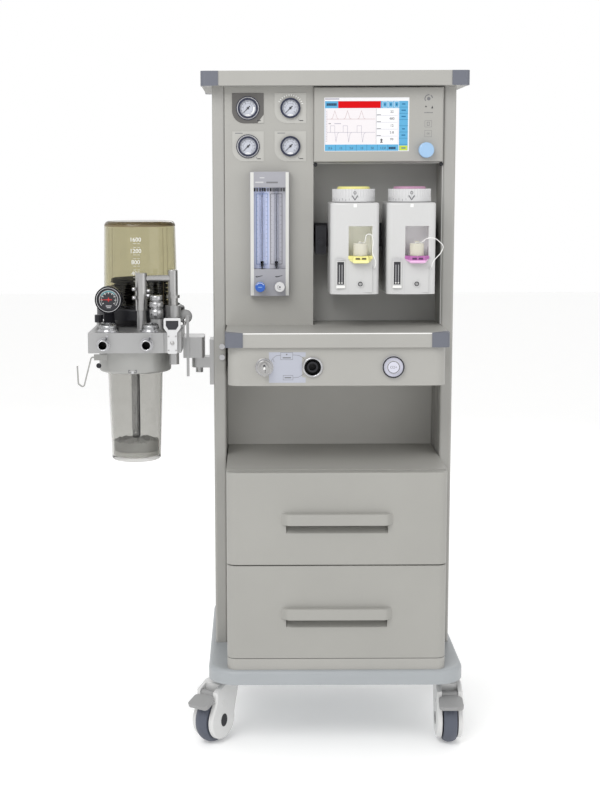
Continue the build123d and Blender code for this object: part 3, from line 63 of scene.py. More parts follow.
# ------------------------ places that several pieces share, in mm
UP, FORWARD, BACKWARD = (0, 0, 1), (0, -1, 0), (0, 1, 0)
VAPORIZER_X = {"left": 39.5, "right": 156.0}
NICHE_X = 11.5  # niche's centre, from the vaporizer's
DIAL_Y = -30.0
COLLAR_Y = -72.0  # collar's centre
COLLAR_TOP = 1022.0
FLOW_TUBE_X = {"left": -151.0, "right": -121.0}
FLOW_KNOB_X = {"left": -155.5, "right": -114.5}
FLOW_KNOB_Z = 955.5
FLOW_TUBE_Y = -14.0
WINDOW_Z = (992.3, 1161.7)
SELECTOR_X, OUTLET_X, FLUSH_X = -148.0, -50.0, 114.0
CONTROL_Z = 801.5
PORT_X = {"left": -478.5, "right": -389.5}
PORT_Z = 843.5
VALVE_X = {"left": -472.0, "right": -384.0}
VALVE_Y = -76.0
BLOCK_TOP = 867.2
LEVER_X = -336.5
DOME_X, DOME_Y = -417.0, 105.0
CANISTER_X, CANISTER_Y = -421.0, -20.0
GAUGE_X, GAUGE_Z = GAUGE = (-473.7, 930.0)  # manometer's centre
BAY_X = (-43.2, 229.0)
BAY_TOP = 1213.5
TYRE_INNER = 0.0365  # metres
AXLE_CAP_R, CHEEK_FACE = 0.0325, 0.0274  # metres from the axle's middle


# ------------------------ materials
def new_material(name):
    """Material with a Principled shader; returns the material, its node tree and the shader."""
    material = bpy.data.materials.new(name)
    material.use_nodes = True
    tree = material.node_tree
    shader = tree.nodes["Principled BSDF"]
    return material, tree, shader


def add_noise(tree, scale, detail=3.0, stretch=(1, 1, 1)):
    """Noise texture in object coordinates, stretched along the axes; returns its Fac output."""
    coords = tree.nodes.new("ShaderNodeTexCoord")
    mapping = tree.nodes.new("ShaderNodeMapping")
    mapping.inputs["Scale"].default_value = stretch
    noise = tree.nodes.new("ShaderNodeTexNoise")
    noise.inputs["Scale"].default_value = scale
    noise.inputs["Detail"].default_value = detail
    tree.links.new(coords.outputs["Object"], mapping.inputs["Vector"])
    tree.links.new(mapping.outputs["Vector"], noise.inputs["Vector"])
    return noise.outputs["Fac"]


def ramp(tree, source, stops):
    """Colour ramp from source; stops are (position, colour) pairs."""
    node = tree.nodes.new("ShaderNodeValToRGB")
    elements = node.color_ramp.elements
    while len(elements) < len(stops):
        elements.new(0.5)
    for element, (position, colour) in zip(elements, stops):
        element.position = position
        element.color = (*colour, 1.0)
    tree.links.new(source, node.inputs["Fac"])
    return node.outputs["Color"]


def add_bump(tree, shader, source, strength, distance):
    """Bump on the shader's normal from a height source."""
    bump = tree.nodes.new("ShaderNodeBump")
    bump.inputs["Strength"].default_value = strength
    bump.inputs["Distance"].default_value = distance
    tree.links.new(source, bump.inputs["Height"])
    tree.links.new(bump.outputs["Normal"], shader.inputs["Normal"])


def vary_roughness(tree, shader, source, low, high):
    """Roughness that drifts between two values with a noise source."""
    drift = tree.nodes.new("ShaderNodeMapRange")
    drift.inputs["To Min"].default_value = low
    drift.inputs["To Max"].default_value = high
    tree.links.new(source, drift.inputs["Value"])
    tree.links.new(drift.outputs["Result"], shader.inputs["Roughness"])


def shade(colour, amount):
    """Colour made lighter (amount > 1) or darker (amount < 1)."""
    return tuple(min(1.0, c * amount) for c in colour)


def surface(
    name, colour, rough,
    metallic=0.0, grain=900.0, bump=0.02, vary=0.04, coat=0.0, stretch=(1, 1, 1), gloss=0.5,
):
    """Opaque finish: slow colour drift, roughness drift and a fine grain in the bump."""
    material, tree, shader = new_material(name)
    slow = add_noise(tree, 9.0, 4.0)
    colours = ramp(tree, slow, [(0.3, shade(colour, 1 - vary)), (0.7, shade(colour, 1 + vary))])
    tree.links.new(colours, shader.inputs["Base Color"])
    fine = add_noise(tree, grain, 2.0, stretch)
    vary_roughness(tree, shader, fine, rough - 0.05, rough + 0.05)
    add_bump(tree, shader, fine, bump, 0.0004)
    shader.inputs["Metallic"].default_value = metallic
    shader.inputs["Specular IOR Level"].default_value = gloss
    shader.inputs["Coat Weight"].default_value = coat
    shader.inputs["Coat Roughness"].default_value = 0.12
    return material


def clear(name, colour, rough=0.03, ior=1.45, tint=0.05):
    """Clear plastic or glass with a faint mottling in its roughness."""
    material, tree, shader = new_material(name)
    fine = add_noise(tree, 60.0, 3.0)
    colours = ramp(tree, fine, [(0.2, shade(colour, 1 - tint)), (0.8, colour)])
    tree.links.new(colours, shader.inputs["Base Color"])
    vary_roughness(tree, shader, fine, rough, rough + 0.03)
    shader.inputs["Transmission Weight"].default_value = 1.0
    shader.inputs["IOR"].default_value = ior
    return material


def lit(name, colour, strength):
    """Lit display pixels: colour with a little emission and a faint pixel grid."""
    material, tree, shader = new_material(name)
    fine = add_noise(tree, 1500.0, 1.0)
    colours = ramp(tree, fine, [(0.2, shade(colour, 0.96)), (0.8, colour)])
    tree.links.new(colours, shader.inputs["Base Color"])
    tree.links.new(colours, shader.inputs["Emission Color"])
    shader.inputs["Emission Strength"].default_value = strength
    shader.inputs["Specular IOR Level"].default_value = 0.1
    shader.inputs["Roughness"].default_value = 0.25
    return material


WARM_GREY = (0.36, 0.354, 0.332)
MATERIALS = {
    "cabinet": surface("cabinet_paint", WARM_GREY, 0.45, bump=0.05, vary=0.02),
    "column": surface("column_paint", (0.345, 0.34, 0.322), 0.42, bump=0.04, vary=0.02),
    "front": surface("drawer_front", (0.335, 0.33, 0.308), 0.48, bump=0.05, vary=0.02),
    "base": surface("base_paint", (0.345, 0.365, 0.38), 0.42, bump=0.05, vary=0.02),
    "cap": surface("cap_plastic", (0.128, 0.136, 0.164), 0.42, bump=0.10, vary=0.03),
    # Bay paint: a grey lighter than the cabinet paint, painted light in the shaded bay behind the
    # vaporizers.
    "bay_lit": surface("bay_paint", (0.43, 0.428, 0.412), 0.50, bump=0.05, vary=0.03),
    # Shelf paint: a lighter copy of the cabinet paint, painted light inside the shaded shelf.
    "shelf_painted_light": surface("shelf_lit_paint", (0.52, 0.512, 0.485), 0.45, bump=0.05, vary=0.02),
    "tray": surface("tray_paint", (0.50, 0.50, 0.49), 0.35, bump=0.05),
    "white": surface("white_plastic", (0.60, 0.60, 0.605), 0.34, bump=0.03, vary=0.015, coat=0.2),
    "enamel": surface("white_enamel", (0.555, 0.555, 0.552), 0.32, bump=0.03, vary=0.015, coat=0.25),
    "fork": surface("fork_plastic", (0.66, 0.66, 0.655), 0.34, bump=0.04, vary=0.02, coat=0.15),
    "tyre": surface("tyre_rubber", (0.085, 0.095, 0.125), 0.55, bump=0.15, vary=0.08),
    "hub": surface("hub_plastic", (0.25, 0.26, 0.29), 0.40, bump=0.08),
    "pedal": surface("pedal_plastic", (0.30, 0.30, 0.30), 0.45, bump=0.12),
    "black": surface("black_plastic", (0.014, 0.014, 0.018), 0.40, bump=0.10, vary=0.15, gloss=0.35),
    "navy": surface("navy_bezel", (0.012, 0.016, 0.042), 0.30, bump=0.05, vary=0.1, coat=0.2),
    "rubber": surface("black_rubber", (0.006, 0.006, 0.008), 0.75, bump=0.15, vary=0.2, gloss=0.1),
    "chrome": surface("chrome", (0.50, 0.50, 0.515), 0.14, metallic=1.0, bump=0.01, vary=0.02),
    "silver": surface("satin_silver", (0.46, 0.46, 0.465), 0.26, metallic=1.0, bump=0.04),
    "block": surface(
        "machined_aluminium", (0.43, 0.43, 0.43), 0.34, metallic=0.8, grain=260.0, bump=0.10,
        stretch=(1, 12, 12),
    ),
    "steel": surface(
        "turned_steel", (0.46, 0.455, 0.45), 0.28, metallic=1.0, grain=300.0, bump=0.12, stretch=(1, 1, 18)
    ),
    "head": surface("cast_metal", (0.38, 0.38, 0.368), 0.40, metallic=0.6, grain=500.0, bump=0.15),
    "blue": surface("blue_plastic", (0.015, 0.10, 0.45), 0.30, bump=0.03, coat=0.3),
    "light_blue": surface("light_blue_plastic", (0.30, 0.47, 0.68), 0.30, bump=0.04, coat=0.3),
    "cream": surface("cream_plastic", (0.60, 0.58, 0.49), 0.40, bump=0.05),
    "cream_top": surface("cream_top", (0.72, 0.71, 0.63), 0.40, bump=0.05),
    "yellow": surface("yellow_plastic", (0.78, 0.73, 0.26), 0.38, bump=0.04),
    "pale_yellow": surface("pale_yellow_plastic", (0.80, 0.77, 0.34), 0.38, bump=0.04),
    "mauve": surface("mauve_plastic", (0.46, 0.25, 0.37), 0.38, bump=0.04),
    "purple": surface("purple_plastic", (0.42, 0.13, 0.37), 0.38, bump=0.04),
    "pink": surface("pink_plastic", (0.74, 0.44, 0.68), 0.38, bump=0.04),
    "slot_brown": surface("slot_brown", (0.10, 0.085, 0.03), 0.55, bump=0.04),
    "slot_plum": surface("slot_plum", (0.09, 0.02, 0.09), 0.55, bump=0.04),
    # Niche colours: the filler niches' own beige and grey, made far lighter than the cabinet paint as
    # painted light in the shaded niches.
    "niche_warm_lit": surface("niche_warm_lit", (0.88, 0.875, 0.80), 0.45, bump=0.04),
    "niche_cool_lit": surface("niche_cool_lit", (0.84, 0.83, 0.84), 0.45, bump=0.04),
    "tether": surface("tether_cord", (0.78, 0.78, 0.76), 0.45, bump=0.05),
    "dial_face": surface("dial_face", (0.50, 0.52, 0.58), 0.42),
    "glint": surface("face_glint", (0.88, 0.89, 0.91), 0.30),
    # The ink colours also carry painted light: the black paints the shadow line under the lid, grey and
    # pale paint the highlights in the sight glasses, white paints the highlights on the blue flow knob and
    # along the worktop's front edge.
    "ink_and_shadow": surface("black_ink_and_shadow", (0.02, 0.02, 0.025), 0.50),
    "grey_ink_and_highlight": surface("grey_ink_and_highlight", (0.16, 0.16, 0.17), 0.50),
    "pale_ink_and_highlight": surface("pale_ink_and_highlight", (0.52, 0.52, 0.53), 0.50),
    "white_ink_and_highlight": surface("white_ink_and_highlight", (0.80, 0.80, 0.78), 0.50),
    "dim_ink": surface("dim_white_ink", (0.66, 0.65, 0.56), 0.50),
    "teal_ink": surface("teal_ink", (0.06, 0.32, 0.36), 0.50),
    "red": surface("red_paint", (0.55, 0.03, 0.03), 0.40),
    "leaf": surface("leaf_plate", (0.43, 0.425, 0.40), 0.38, bump=0.03),
    "leaf_dark": surface("dark_leaf_plate", (0.13, 0.125, 0.12), 0.30, metallic=0.4, bump=0.03),
    "label": surface("control_label", (0.40, 0.415, 0.475), 0.45, bump=0.03),
    "lavender": surface("pale_lavender_plastic", (0.56, 0.56, 0.64), 0.34, bump=0.03, coat=0.2),
    "flow_panel": surface("flow_panel", (0.315, 0.315, 0.345), 0.42, bump=0.04),
    "flow_rail": surface("flow_rail", (0.60, 0.60, 0.575), 0.36, bump=0.04),
    "flow_blue": surface("flow_blue", (0.56, 0.61, 0.82), 0.42),
    "flow_grey": surface("flow_grey", (0.50, 0.50, 0.55), 0.42),
    "blue_line": surface("blue_line", (0.07, 0.20, 0.48), 0.50),
    "granules": surface("granules", (0.60, 0.60, 0.59), 0.80, grain=160.0, bump=0.9, vary=0.3),
    "base_white": surface("canister_floor", (0.88, 0.88, 0.86), 0.50, bump=0.05),
    "tube_glass": clear("flow_tube_glass", (0.93, 0.94, 0.97), ior=1.12),
    "valve_glass": clear("valve_dome_glass", (0.95, 0.96, 0.97), ior=1.3),
    "canister": clear("clear_canister", (0.68, 0.675, 0.655), ior=1.25, rough=0.05),
    "amber": clear("amber_dome", (0.735, 0.705, 0.55), ior=1.3),
    "amber_line": surface("amber_rib", (0.16, 0.12, 0.06), 0.35, bump=0.03),
    "screen_white": lit("screen_white", (0.46, 0.46, 0.47), 0.95),
    "screen_pale": lit("screen_pale", (0.45, 0.43, 0.44), 0.90),
    "screen_blue": lit("screen_blue", (0.068, 0.225, 0.36), 0.90),
    "screen_deep": lit("screen_deep", (0.02, 0.10, 0.20), 0.70),
    "screen_red": lit("screen_red", (0.38, 0.002, 0.004), 0.80),
    "screen_green": lit("screen_green", (0.30, 0.36, 0.05), 0.90),
    "trace": lit("trace_pink", (0.30, 0.22, 0.22), 0.70),
    "trace_grey": lit("trace_grey", (0.22, 0.21, 0.26), 0.70),
}


def use(node, key):
    """Gives a whole CAD node one material."""
    mesh = NODES[node].data
    mesh.materials.clear()
    mesh.materials.append(MATERIALS[key])
    for polygon in mesh.polygons:
        polygon.material_index = 0


def paint(node, key, test):
    """Gives a material to those faces of a CAD node whose centre and normal pass the test."""
    mesh = NODES[node].data
    index = len(mesh.materials)
    mesh.materials.append(MATERIALS[key])
    for polygon in mesh.polygons:
        centre = polygon.center
        at = Vector(((centre.x - TROLLEY_X) / MM, (centre.y - FRONT_Y) / MM, centre.z / MM))
        if test(at, polygon.normal):
            polygon.material_index = index


def off_axis(at, x, z):
    """Distance from a line through X and Z that runs from front to back."""
    return math.hypot(at.x - x, at.z - z)


NODE_KEYS = {
    "base_plate": "base", "side_columns": "column", "drawer_housing": "cabinet", "worktop": "cabinet",
    "control_housing": "cabinet", "panel_fittings": "chrome", "upper_cabinet": "cabinet",
    "gauge_panel": "cabinet", "gauge_cases": "navy", "flowmeter_block": "flow_panel", "back_bar": "black",
    "vaporizer_bodies": "enamel", "cap_tethers": "tether", "monitor_housing": "cabinet",
    "monitor_screen": "black", "top_lid": "cabinet", "rear_cover": "cabinet", "column_bracket": "block",
    "upper_drawer_front": "front", "upper_drawer_tray": "tray", "lower_drawer_front": "front",
    "lower_drawer_tray": "tray", "flow_knob_left": "blue", "flow_knob_right": "white",
    "flow_float_left": "black", "flow_float_right": "black", "vaporizer_dial_left": "white",
    "vaporizer_dial_right": "white", "filler_cap_left": "cream", "filler_cap_right": "cream",
    "selector_knob": "steel", "flush_button": "white", "encoder_knob": "light_blue",
    "swivel_arm": "block", "manifold_block": "block", "canister_head": "head", "canister": "canister",
    "bellows_base": "black", "bellows_dome": "amber", "bellows": "rubber", "bellows_disc": "rubber",
    "transfer_tube": "steel", "manometer_case": "black", "manometer_needle": "red", "apl_knob": "white",
    "bag_lever": "white",
}
for node in NODES:
    if node.startswith("caster_fork"):
        use(node, "fork")
    elif node.startswith("caster_wheel"):
        use(node, "hub")
    elif node.startswith("brake_pedal"):
        use(node, "pedal")
    elif node.startswith("gauge_needle"):
        use(node, "ink_and_shadow")
    else:
        use(node, NODE_KEYS[node])


# ------------------------ face colours on the CAD nodes
CAP = 35.0
for node, x_half, front, back in (("top_lid", 276.0, -36.0, 310.0), ("worktop", 226.5, -168.0, 900.0)):
    paint(
        node,
        "cap",
        lambda at, n, h=x_half, f=front, b=back: abs(at.x) > h - CAP - 0.2
        and (at.y < f + CAP + 0.2 or at.y > b - CAP - 0.2),
    )
# The bay faces take the lighter bay paint: painted light in the shaded recess.
paint("upper_cabinet", "bay_lit", lambda at, n: BAY_X[0] < at.x < BAY_X[1] and at.y < 97 and at.z < BAY_TOP)
paint("gauge_panel", "leaf", lambda at, n: at.y < -0.2)
paint("gauge_panel", "leaf_dark", lambda at, n: at.y < -0.2 and at.x < -140 and at.z > 1290)

for name, dial_key, collar_key, niche_key in (
    ("left", "yellow", "yellow", "niche_warm_lit"),
    ("right", "mauve", "purple", "niche_cool_lit"),
):
    x = VAPORIZER_X[name]
    niche = x + NICHE_X
    paint(
        f"vaporizer_dial_{name}",
        dial_key,
        lambda at, n, x=x: at.z > 1158.0 and math.hypot(at.x - x, at.y - DIAL_Y) < 34.5,
    )
    paint(
        "vaporizer_bodies",
        collar_key,
        lambda at, n, c=niche: abs(at.x - c) < 26 and 1016.2 < at.z < 1022.3 and at.y < -43.5,
    )
    # Inside the filler niches: the niche's own tint, lightened as painted light in the shaded recess.
    paint(
        "vaporizer_bodies",
        niche_key,
        lambda at, n, c=niche: abs(at.x - c) < 24.7 and -82.5 < at.y < -42.4 and 1022.4 < at.z < 1083.2,
    )
    paint(f"filler_cap_{name}", "cream_top", lambda at, n: n.z > 0.7)
paint("flow_knob_left", "light_blue", lambda at, n: at.y > -43.5)
for x in FLOW_TUBE_X.values():
    paint(
        "flowmeter_block",
        "tube_glass",
        lambda at, n, x=x: math.hypot(at.x - x, at.y - FLOW_TUBE_Y) < 6.3 and 992.5 < at.z < 1161.5,
    )
paint("panel_fittings", "black", lambda at, n: off_axis(at, OUTLET_X, CONTROL_Z) < 17.4 and at.y > -163.9)
paint("panel_fittings", "lavender", lambda at, n: off_axis(at, FLUSH_X, CONTROL_Z) < 22.7)
paint("column_bracket", "chrome", lambda at, n: at.x > -245)
# Cabinet faces inside the shelf take the lighter copy of the cabinet paint: painted light in the shaded
# shelf.
paint("drawer_housing", "shelf_painted_light", lambda at, n: at.z > 591 and at.y > 60)
paint(
    "upper_cabinet",
    "cabinet",
    lambda at, n: n.x < -0.5 and 225 < at.x < 230 and at.y < 97 and at.z < BAY_TOP,
)
paint(
    "canister_head",
    "silver",
    lambda at, n: at.z < 775 and math.hypot(at.x - CANISTER_X, at.y - CANISTER_Y) < 12,
)
for x in PORT_X.values():
    paint("manifold_block", "chrome", lambda at, n, x=x: off_axis(at, x, PORT_Z) < 14.2 and at.y < -110.2)
    paint("manifold_block", "black", lambda at, n, x=x: off_axis(at, x, PORT_Z) < 8.8 and at.y > -134.8)
paint("manifold_block", "black", lambda at, n: math.hypot(at.x + 501, at.y - 20) < 9.5 and at.z > 876)
paint("manifold_block", "silver", lambda at, n: at.z > BLOCK_TOP and at.y < -50 and at.x < -360)
for corner in ("front_left", "front_right", "rear_left", "rear_right"):
    wheel_low, wheel_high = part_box(f"caster_wheel_{corner}")
    axle = (wheel_low + wheel_high) / 2
    fork_mesh = NODES[f"caster_fork_{corner}"].data
    fork_mesh.materials.append(MATERIALS["black"])
    for polygon in fork_mesh.polygons:
        offset = polygon.center - axle
        if offset.length < AXLE_CAP_R and abs(offset.dot(polygon.normal)) > CHEEK_FACE:
            polygon.material_index = 1
for node in NODES:
    if node.startswith("caster_wheel"):
        low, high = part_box(node)
        middle = (low + high) / 2
        mesh = NODES[node].data
        mesh.materials.append(MATERIALS["tyre"])
        for polygon in mesh.polygons:
            if (polygon.center - middle).length > TYRE_INNER:
                polygon.material_index = 1


# ------------------------ tools for the detail pieces
def add_object(name, data):
    """New object in the scene."""
    item = bpy.data.objects.new(name, data)
    bpy.context.scene.collection.objects.link(item)
    return item


def circle(steps):
    """Points of the unit circle, as (cosine, sine) pairs."""
    return [(math.cos(2 * math.pi * k / steps), math.sin(2 * math.pi * k / steps)) for k in range(steps)]


def finish_piece(name, body, bm, keys, smooth=False):
    """Turns a bmesh into a piece with one material slot per key, riding on a body."""
    mesh = bpy.data.meshes.new(name)
    bm.normal_update()
    bm.to_mesh(mesh)
    bm.free()
    for key in keys:
        mesh.materials.append(MATERIALS[key])
    for polygon in mesh.polygons:
        polygon.use_smooth = smooth
    piece = add_object(name, mesh)
    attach(piece, body)
    return piece


def front(y):
    """Plane that faces the front: u is X, v is Z."""
    return lambda u, v, lift: P(u, y - lift, v)


def rear(y):
    """Plane that faces the rear: u runs along -X, v is Z."""
    return lambda u, v, lift: P(-u, y + lift, v)


def level(z):
    """Plane that faces up: u is X, v is Y."""
    return lambda u, v, lift: P(u, v, z + lift)


def drum(x, y, radius):
    """Upright round wall, seen from the front: u is the arc length from the foremost line, v is Z."""

    def place(u, v, lift):
        angle = u / radius(v)
        reach = radius(v) + lift
        return P(x + reach * math.sin(angle), y - reach * math.cos(angle), v)

    return place


def glyphs(text, size):
    """Mesh of a line of figures, centred on its origin, in millimetres."""
    curve = bpy.data.curves.new("figures", "FONT")
    curve.body = text
    curve.size = size
    curve.align_x = "CENTER"
    curve.align_y = "CENTER"
    curve.resolution_u = 3
    holder = add_object("figures", curve)
    bpy.context.view_layer.update()
    mesh = bpy.data.meshes.new_from_object(holder.evaluated_get(bpy.context.evaluated_depsgraph_get()))
    bpy.data.objects.remove(holder)
    return mesh


class Print:
    """Thin printed or moulded shapes laid on one surface and gathered into one piece."""

    def __init__(self, name, body, place):
        self.name, self.body, self.place = name, body, place
        self.bm = bmesh.new()
        self.keys = []

    def index(self, key):
        if key not in self.keys:
            self.keys.append(key)
        return self.keys.index(key)

    def polygon(self, points, key, lift=0.1, thick=0.0):
        corners = [self.bm.verts.new(self.place(u, v, lift)) for u, v in points]
        face = self.bm.faces.new(corners)
        face.material_index = self.index(key)
        if thick:
            foot = [self.bm.verts.new(self.place(u, v, lift - thick)) for u, v in points]
            for i in range(len(points)):
                j = (i + 1) % len(points)
                wall = self.bm.faces.new((corners[i], foot[i], foot[j], corners[j]))
                wall.material_index = self.index(key)

    def rect(self, u0, u1, v0, v1, key, lift=0.1, thick=0.0, corner=0.0):
        if corner:
            points = []
            for cu, cv, start in (
                (u1 - corner, v0 + corner, -90),
                (u1 - corner, v1 - corner, 0),
                (u0 + corner, v1 - corner, 90),
                (u0 + corner, v0 + corner, 180),
            ):
                for k in range(6):
                    angle = math.radians(start + 18 * k)
                    points.append((cu + corner * math.cos(angle), cv + corner * math.sin(angle)))
            self.polygon(points, key, lift, thick)
            return
        self.polygon([(u0, v0), (u1, v0), (u1, v1), (u0, v1)], key, lift, thick)

    def ring(self, cu, cv, r0, r1, key, lift=0.1, start=0.0, end=360.0, steps=48):
        for k in range(steps):
            a, b = (math.radians(start + (end - start) * i / steps) for i in (k, k + 1))
            corners = ((r0, a), (r1, a), (r1, b), (r0, b))
            self.polygon([(cu + r * math.cos(t), cv + r * math.sin(t)) for r, t in corners], key, lift)

    def disc(self, cu, cv, radius, key, lift=0.1, steps=40):
        self.polygon([(cu + radius * c, cv + radius * s) for c, s in circle(steps)], key, lift)

    def stroke(self, points, width, key, lift=0.1):
        for (ua, va), (ub, vb) in zip(points, points[1:]):
            length = math.hypot(ub - ua, vb - va)
            du, dv = (ub - ua) / length, (vb - va) / length
            nu, nv = -dv * width / 2, du * width / 2
            ua, va = ua - du * width / 3, va - dv * width / 3
            ub, vb = ub + du * width / 3, vb + dv * width / 3
            self.polygon(
                [(ua - nu, va - nv), (ub - nu, vb - nv), (ub + nu, vb + nv), (ua + nu, va + nv)], key, lift
            )

    def frame(self, u0, u1, v0, v1, width, key, lift=0.1):
        for box in (
            (u0, u1, v0, v0 + width),
            (u0, u1, v1 - width, v1),
            (u0, u0 + width, v0, v1),
            (u1 - width, u1, v0, v1),
        ):
            self.rect(*box, key, lift)

    def figures(self, text, u, v, size, key, lift=0.15):
        mesh = glyphs(text, size)
        verts = [self.bm.verts.new(self.place(u + p.co.x, v + p.co.y, lift)) for p in mesh.vertices]
        for polygon in mesh.polygons:
            face = self.bm.faces.new([verts[i] for i in polygon.vertices])
            face.material_index = self.index(key)
        bpy.data.meshes.remove(mesh)

    def ticks(self, cu, cv, r0, r1, start, end, count, width, key, lift=0.12):
        for k in range(count):
            angle = math.radians(start + (end - start) * k / (count - 1))
            c, s = math.cos(angle), math.sin(angle)
            self.stroke([(cu + r0 * c, cv + r0 * s), (cu + r1 * c, cv + r1 * s)], width, key, lift)

    def done(self):
        return finish_piece(self.name, self.body, self.bm, self.keys)


def lathe(name, body, origin, axis, profile, key, steps=48, smooth=True):
    """Turned piece: profile is (radius, height) pairs in millimetres along axis from origin."""
    turn = Vector(axis).to_track_quat("Z", "Y").to_matrix()
    base = P(*origin)
    bm = bmesh.new()
    rings = []
    for radius, height in profile:
        if radius < 0.01:
            rings.append([bm.verts.new(base + turn @ Vector((0, 0, height * MM)))])
            continue
        r = radius * MM
        rings.append(
            [bm.verts.new(base + turn @ Vector((r * c, r * s, height * MM))) for c, s in circle(steps)]
        )
    for a, b in zip(rings, rings[1:]):
        for k in range(steps):
            j = (k + 1) % steps
            if len(a) == 1 and len(b) == 1:
                continue
            if len(a) == 1:
                bm.faces.new((a[0], b[k], b[j]))
            elif len(b) == 1:
                bm.faces.new((a[k], a[j], b[0]))
            else:
                bm.faces.new((a[k], a[j], b[j], b[k]))
    bmesh.ops.recalc_face_normals(bm, faces=bm.faces)
    return finish_piece(name, body, bm, [key], smooth=smooth)


def tube(name, body, points, radius, key):
    """Round bar along a smooth line through trolley points."""
    curve = bpy.data.curves.new(name, "CURVE")
    curve.dimensions = "3D"
    curve.bevel_depth = radius * MM
    curve.bevel_resolution = 5
    curve.use_fill_caps = True
    spline = curve.splines.new("NURBS")
    spline.points.add(len(points) - 1)
    for point, place in zip(spline.points, points):
        point.co = (*P(*place), 1.0)
    spline.order_u = 3
    spline.use_endpoint_u = True
    curve.materials.append(MATERIALS[key])
    piece = add_object(name, curve)
    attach(piece, body)
    return piece


def screws(name, body, places, axis, radius, key):
    """Set of round-headed screws with a shallow round pit in the head, in one piece; each place is a
    trolley point.
    """
    turn = Vector(axis).to_track_quat("Z", "Y").to_matrix()
    bm = bmesh.new()
    profile = ((1.0, 0.0), (1.0, 0.5), (0.8, 1.1), (0.35, 1.3), (0.3, 0.8))
    for place in places:
        rings = []
        for share, h in profile:
            r = radius * share * MM
            rings.append(
                [bm.verts.new(P(*place) + turn @ Vector((r * c, r * s, h * MM))) for c, s in circle(16)]
            )
        for a, b in zip(rings, rings[1:]):
            for k in range(16):
                bm.faces.new((a[k], a[(k + 1) % 16], b[(k + 1) % 16], b[k]))
        bm.faces.new(rings[-1])
    bmesh.ops.recalc_face_normals(bm, faces=bm.faces)
    return finish_piece(name, body, bm, [key], smooth=True)


# ------------------------ gauges
for row, z in (("upper", 1325.5), ("lower", 1247.0)):
    for side, x in (("left", -180.0), ("right", -91.5)):
        face = Print(f"gauge_face_{row}_{side}", "trolley", front(-2.0))
        face.disc(x, z, 16.9, "dial_face", 0.05)
        face.ticks(x, z, 12.6, 15.4, 225, -45, 11, 0.55, "ink_and_shadow")
        face.ticks(x, z, 14.0, 15.4, 225, -45, 51, 0.25, "ink_and_shadow")
        face.ring(x, z, 9.3, 9.7, "grey_ink_and_highlight", 0.1, 200, -20, 30)
        for k, value in enumerate(("0", "2", "4", "6", "8", "10")):
            angle = math.radians(225 - 54 * k)
            face.figures(value, x + 10.9 * math.cos(angle), z + 10.9 * math.sin(angle), 2.9, "ink_and_shadow")
        face.rect(x - 2.6, x + 2.6, z - 15.2, z - 12.4, "glint", 0.12)
        face.ring(x, z, 13.6, 16.6, "glint", 0.11, 248, 292, 10)
        if (row, side) == ("upper", "left"):
            face.ring(x + 1.5, z - 1.5, 9.5, 13.2, "glint", 0.2, -62, 22, 14)
        face.done()
        plate = Print(f"gauge_marks_{row}_{side}", "trolley", front(-1.0))
        plate.rect(x + 19, x + 27, z - 26.5, z - 24.9, "ink_and_shadow", 0.08)
        plate.rect(x + 17.2, x + 18.2, z - 25.6, z - 22.0, "grey_ink_and_highlight", 0.08)
        if row == "lower":
            plate.rect(x - 27, x - 11, z + 26.4, z + 28.0, "grey_ink_and_highlight", 0.08)
        plate.done()
        if side == "left":
            edge = Print(f"gauge_rim_{row}", "trolley", front(-3.0))
            edge.ring(x, z, 21.05, 22.9, "pale_ink_and_highlight", 0.08)
            edge.done()
arc = Print("gauge_arc_marks", "trolley", front(-1.0))
arc.ticks(-91.5, 1325.5, 25.2, 27.8, 150, 20, 13, 1.5, "white_ink_and_highlight", 0.08)
arc.done()
shine = Print("gauge_plate_shade", "trolley", front(-1.0))
shine.polygon([(-160, 1295), (-147.2, 1295), (-147.2, 1312)], "leaf", 0.06)
shine.done()

# ------------------------ monitor
S0, S1, T0, T1 = -21.0, 156.0, 1236.0, 1346.5  # screen's left, right, bottom and top edges
PRESSURE_WAVE = (
    (-8, 1302.6), (-5, 1304), (-2.4, 1312), (0, 1319.5), (2.4, 1312), (5, 1304), (8, 1302.6),
)
FLOW_WAVE = (
    (-9, 1275.2), (-9, 1288.6), (0, 1288.6), (0, 1275), (2.6, 1255.0), (5.4, 1272), (9, 1275),
)
screen = Print("screen_picture", "trolley", front(-6.5))
screen.rect(S0, S1, T0, T1, "screen_white", 0.05)
screen.rect(S0 + 1.5, 10, 1342.3, 1344.6, "trace_grey", 0.1)
screen.rect(S0 + 1.5, S1 - 2.5, 1324.5, 1339.2, "screen_blue", 0.1)
screen.rect(S0 + 1.5, S0 + 2.1, T0 + 1.5, 1339.2, "screen_blue", 0.12)
screen.rect(S0 + 4.5, 5.0, 1329.2, 1335.2, "screen_deep", 0.15)
for k in range(6):
    screen.rect(S0 + 6 + 3.4 * k, S0 + 8.2 + 3.4 * k, 1330.2, 1334.2, "ink_and_shadow", 0.2)
screen.rect(8.0, 96.5, 1324.8, 1339.0, "screen_red", 0.2)
for k in range(3):
    u = 100.5 + 12.2 * k
    screen.rect(u, u + 9.6, 1326.0, 1338.2, "screen_blue", 0.2)
    screen.frame(u, u + 9.6, 1326.0, 1338.2, 0.6, "screen_white", 0.25)
    screen.rect(u + 3.0, u + 6.4, 1329.6, 1334.4, "screen_deep", 0.25)
screen.rect(S0 + 2.2, 87.0, 1250.8, 1323.4, "screen_pale", 0.15)
screen.rect(135.0, S1 - 2.5, T0 + 1.5, 1339.2, "screen_blue", 0.15)
for k in range(7):
    v = 1339.2 - 12.75 * (k + 1)
    screen.rect(135.0, S1 - 2.5, v - 0.35, v + 0.35, "screen_deep", 0.25)
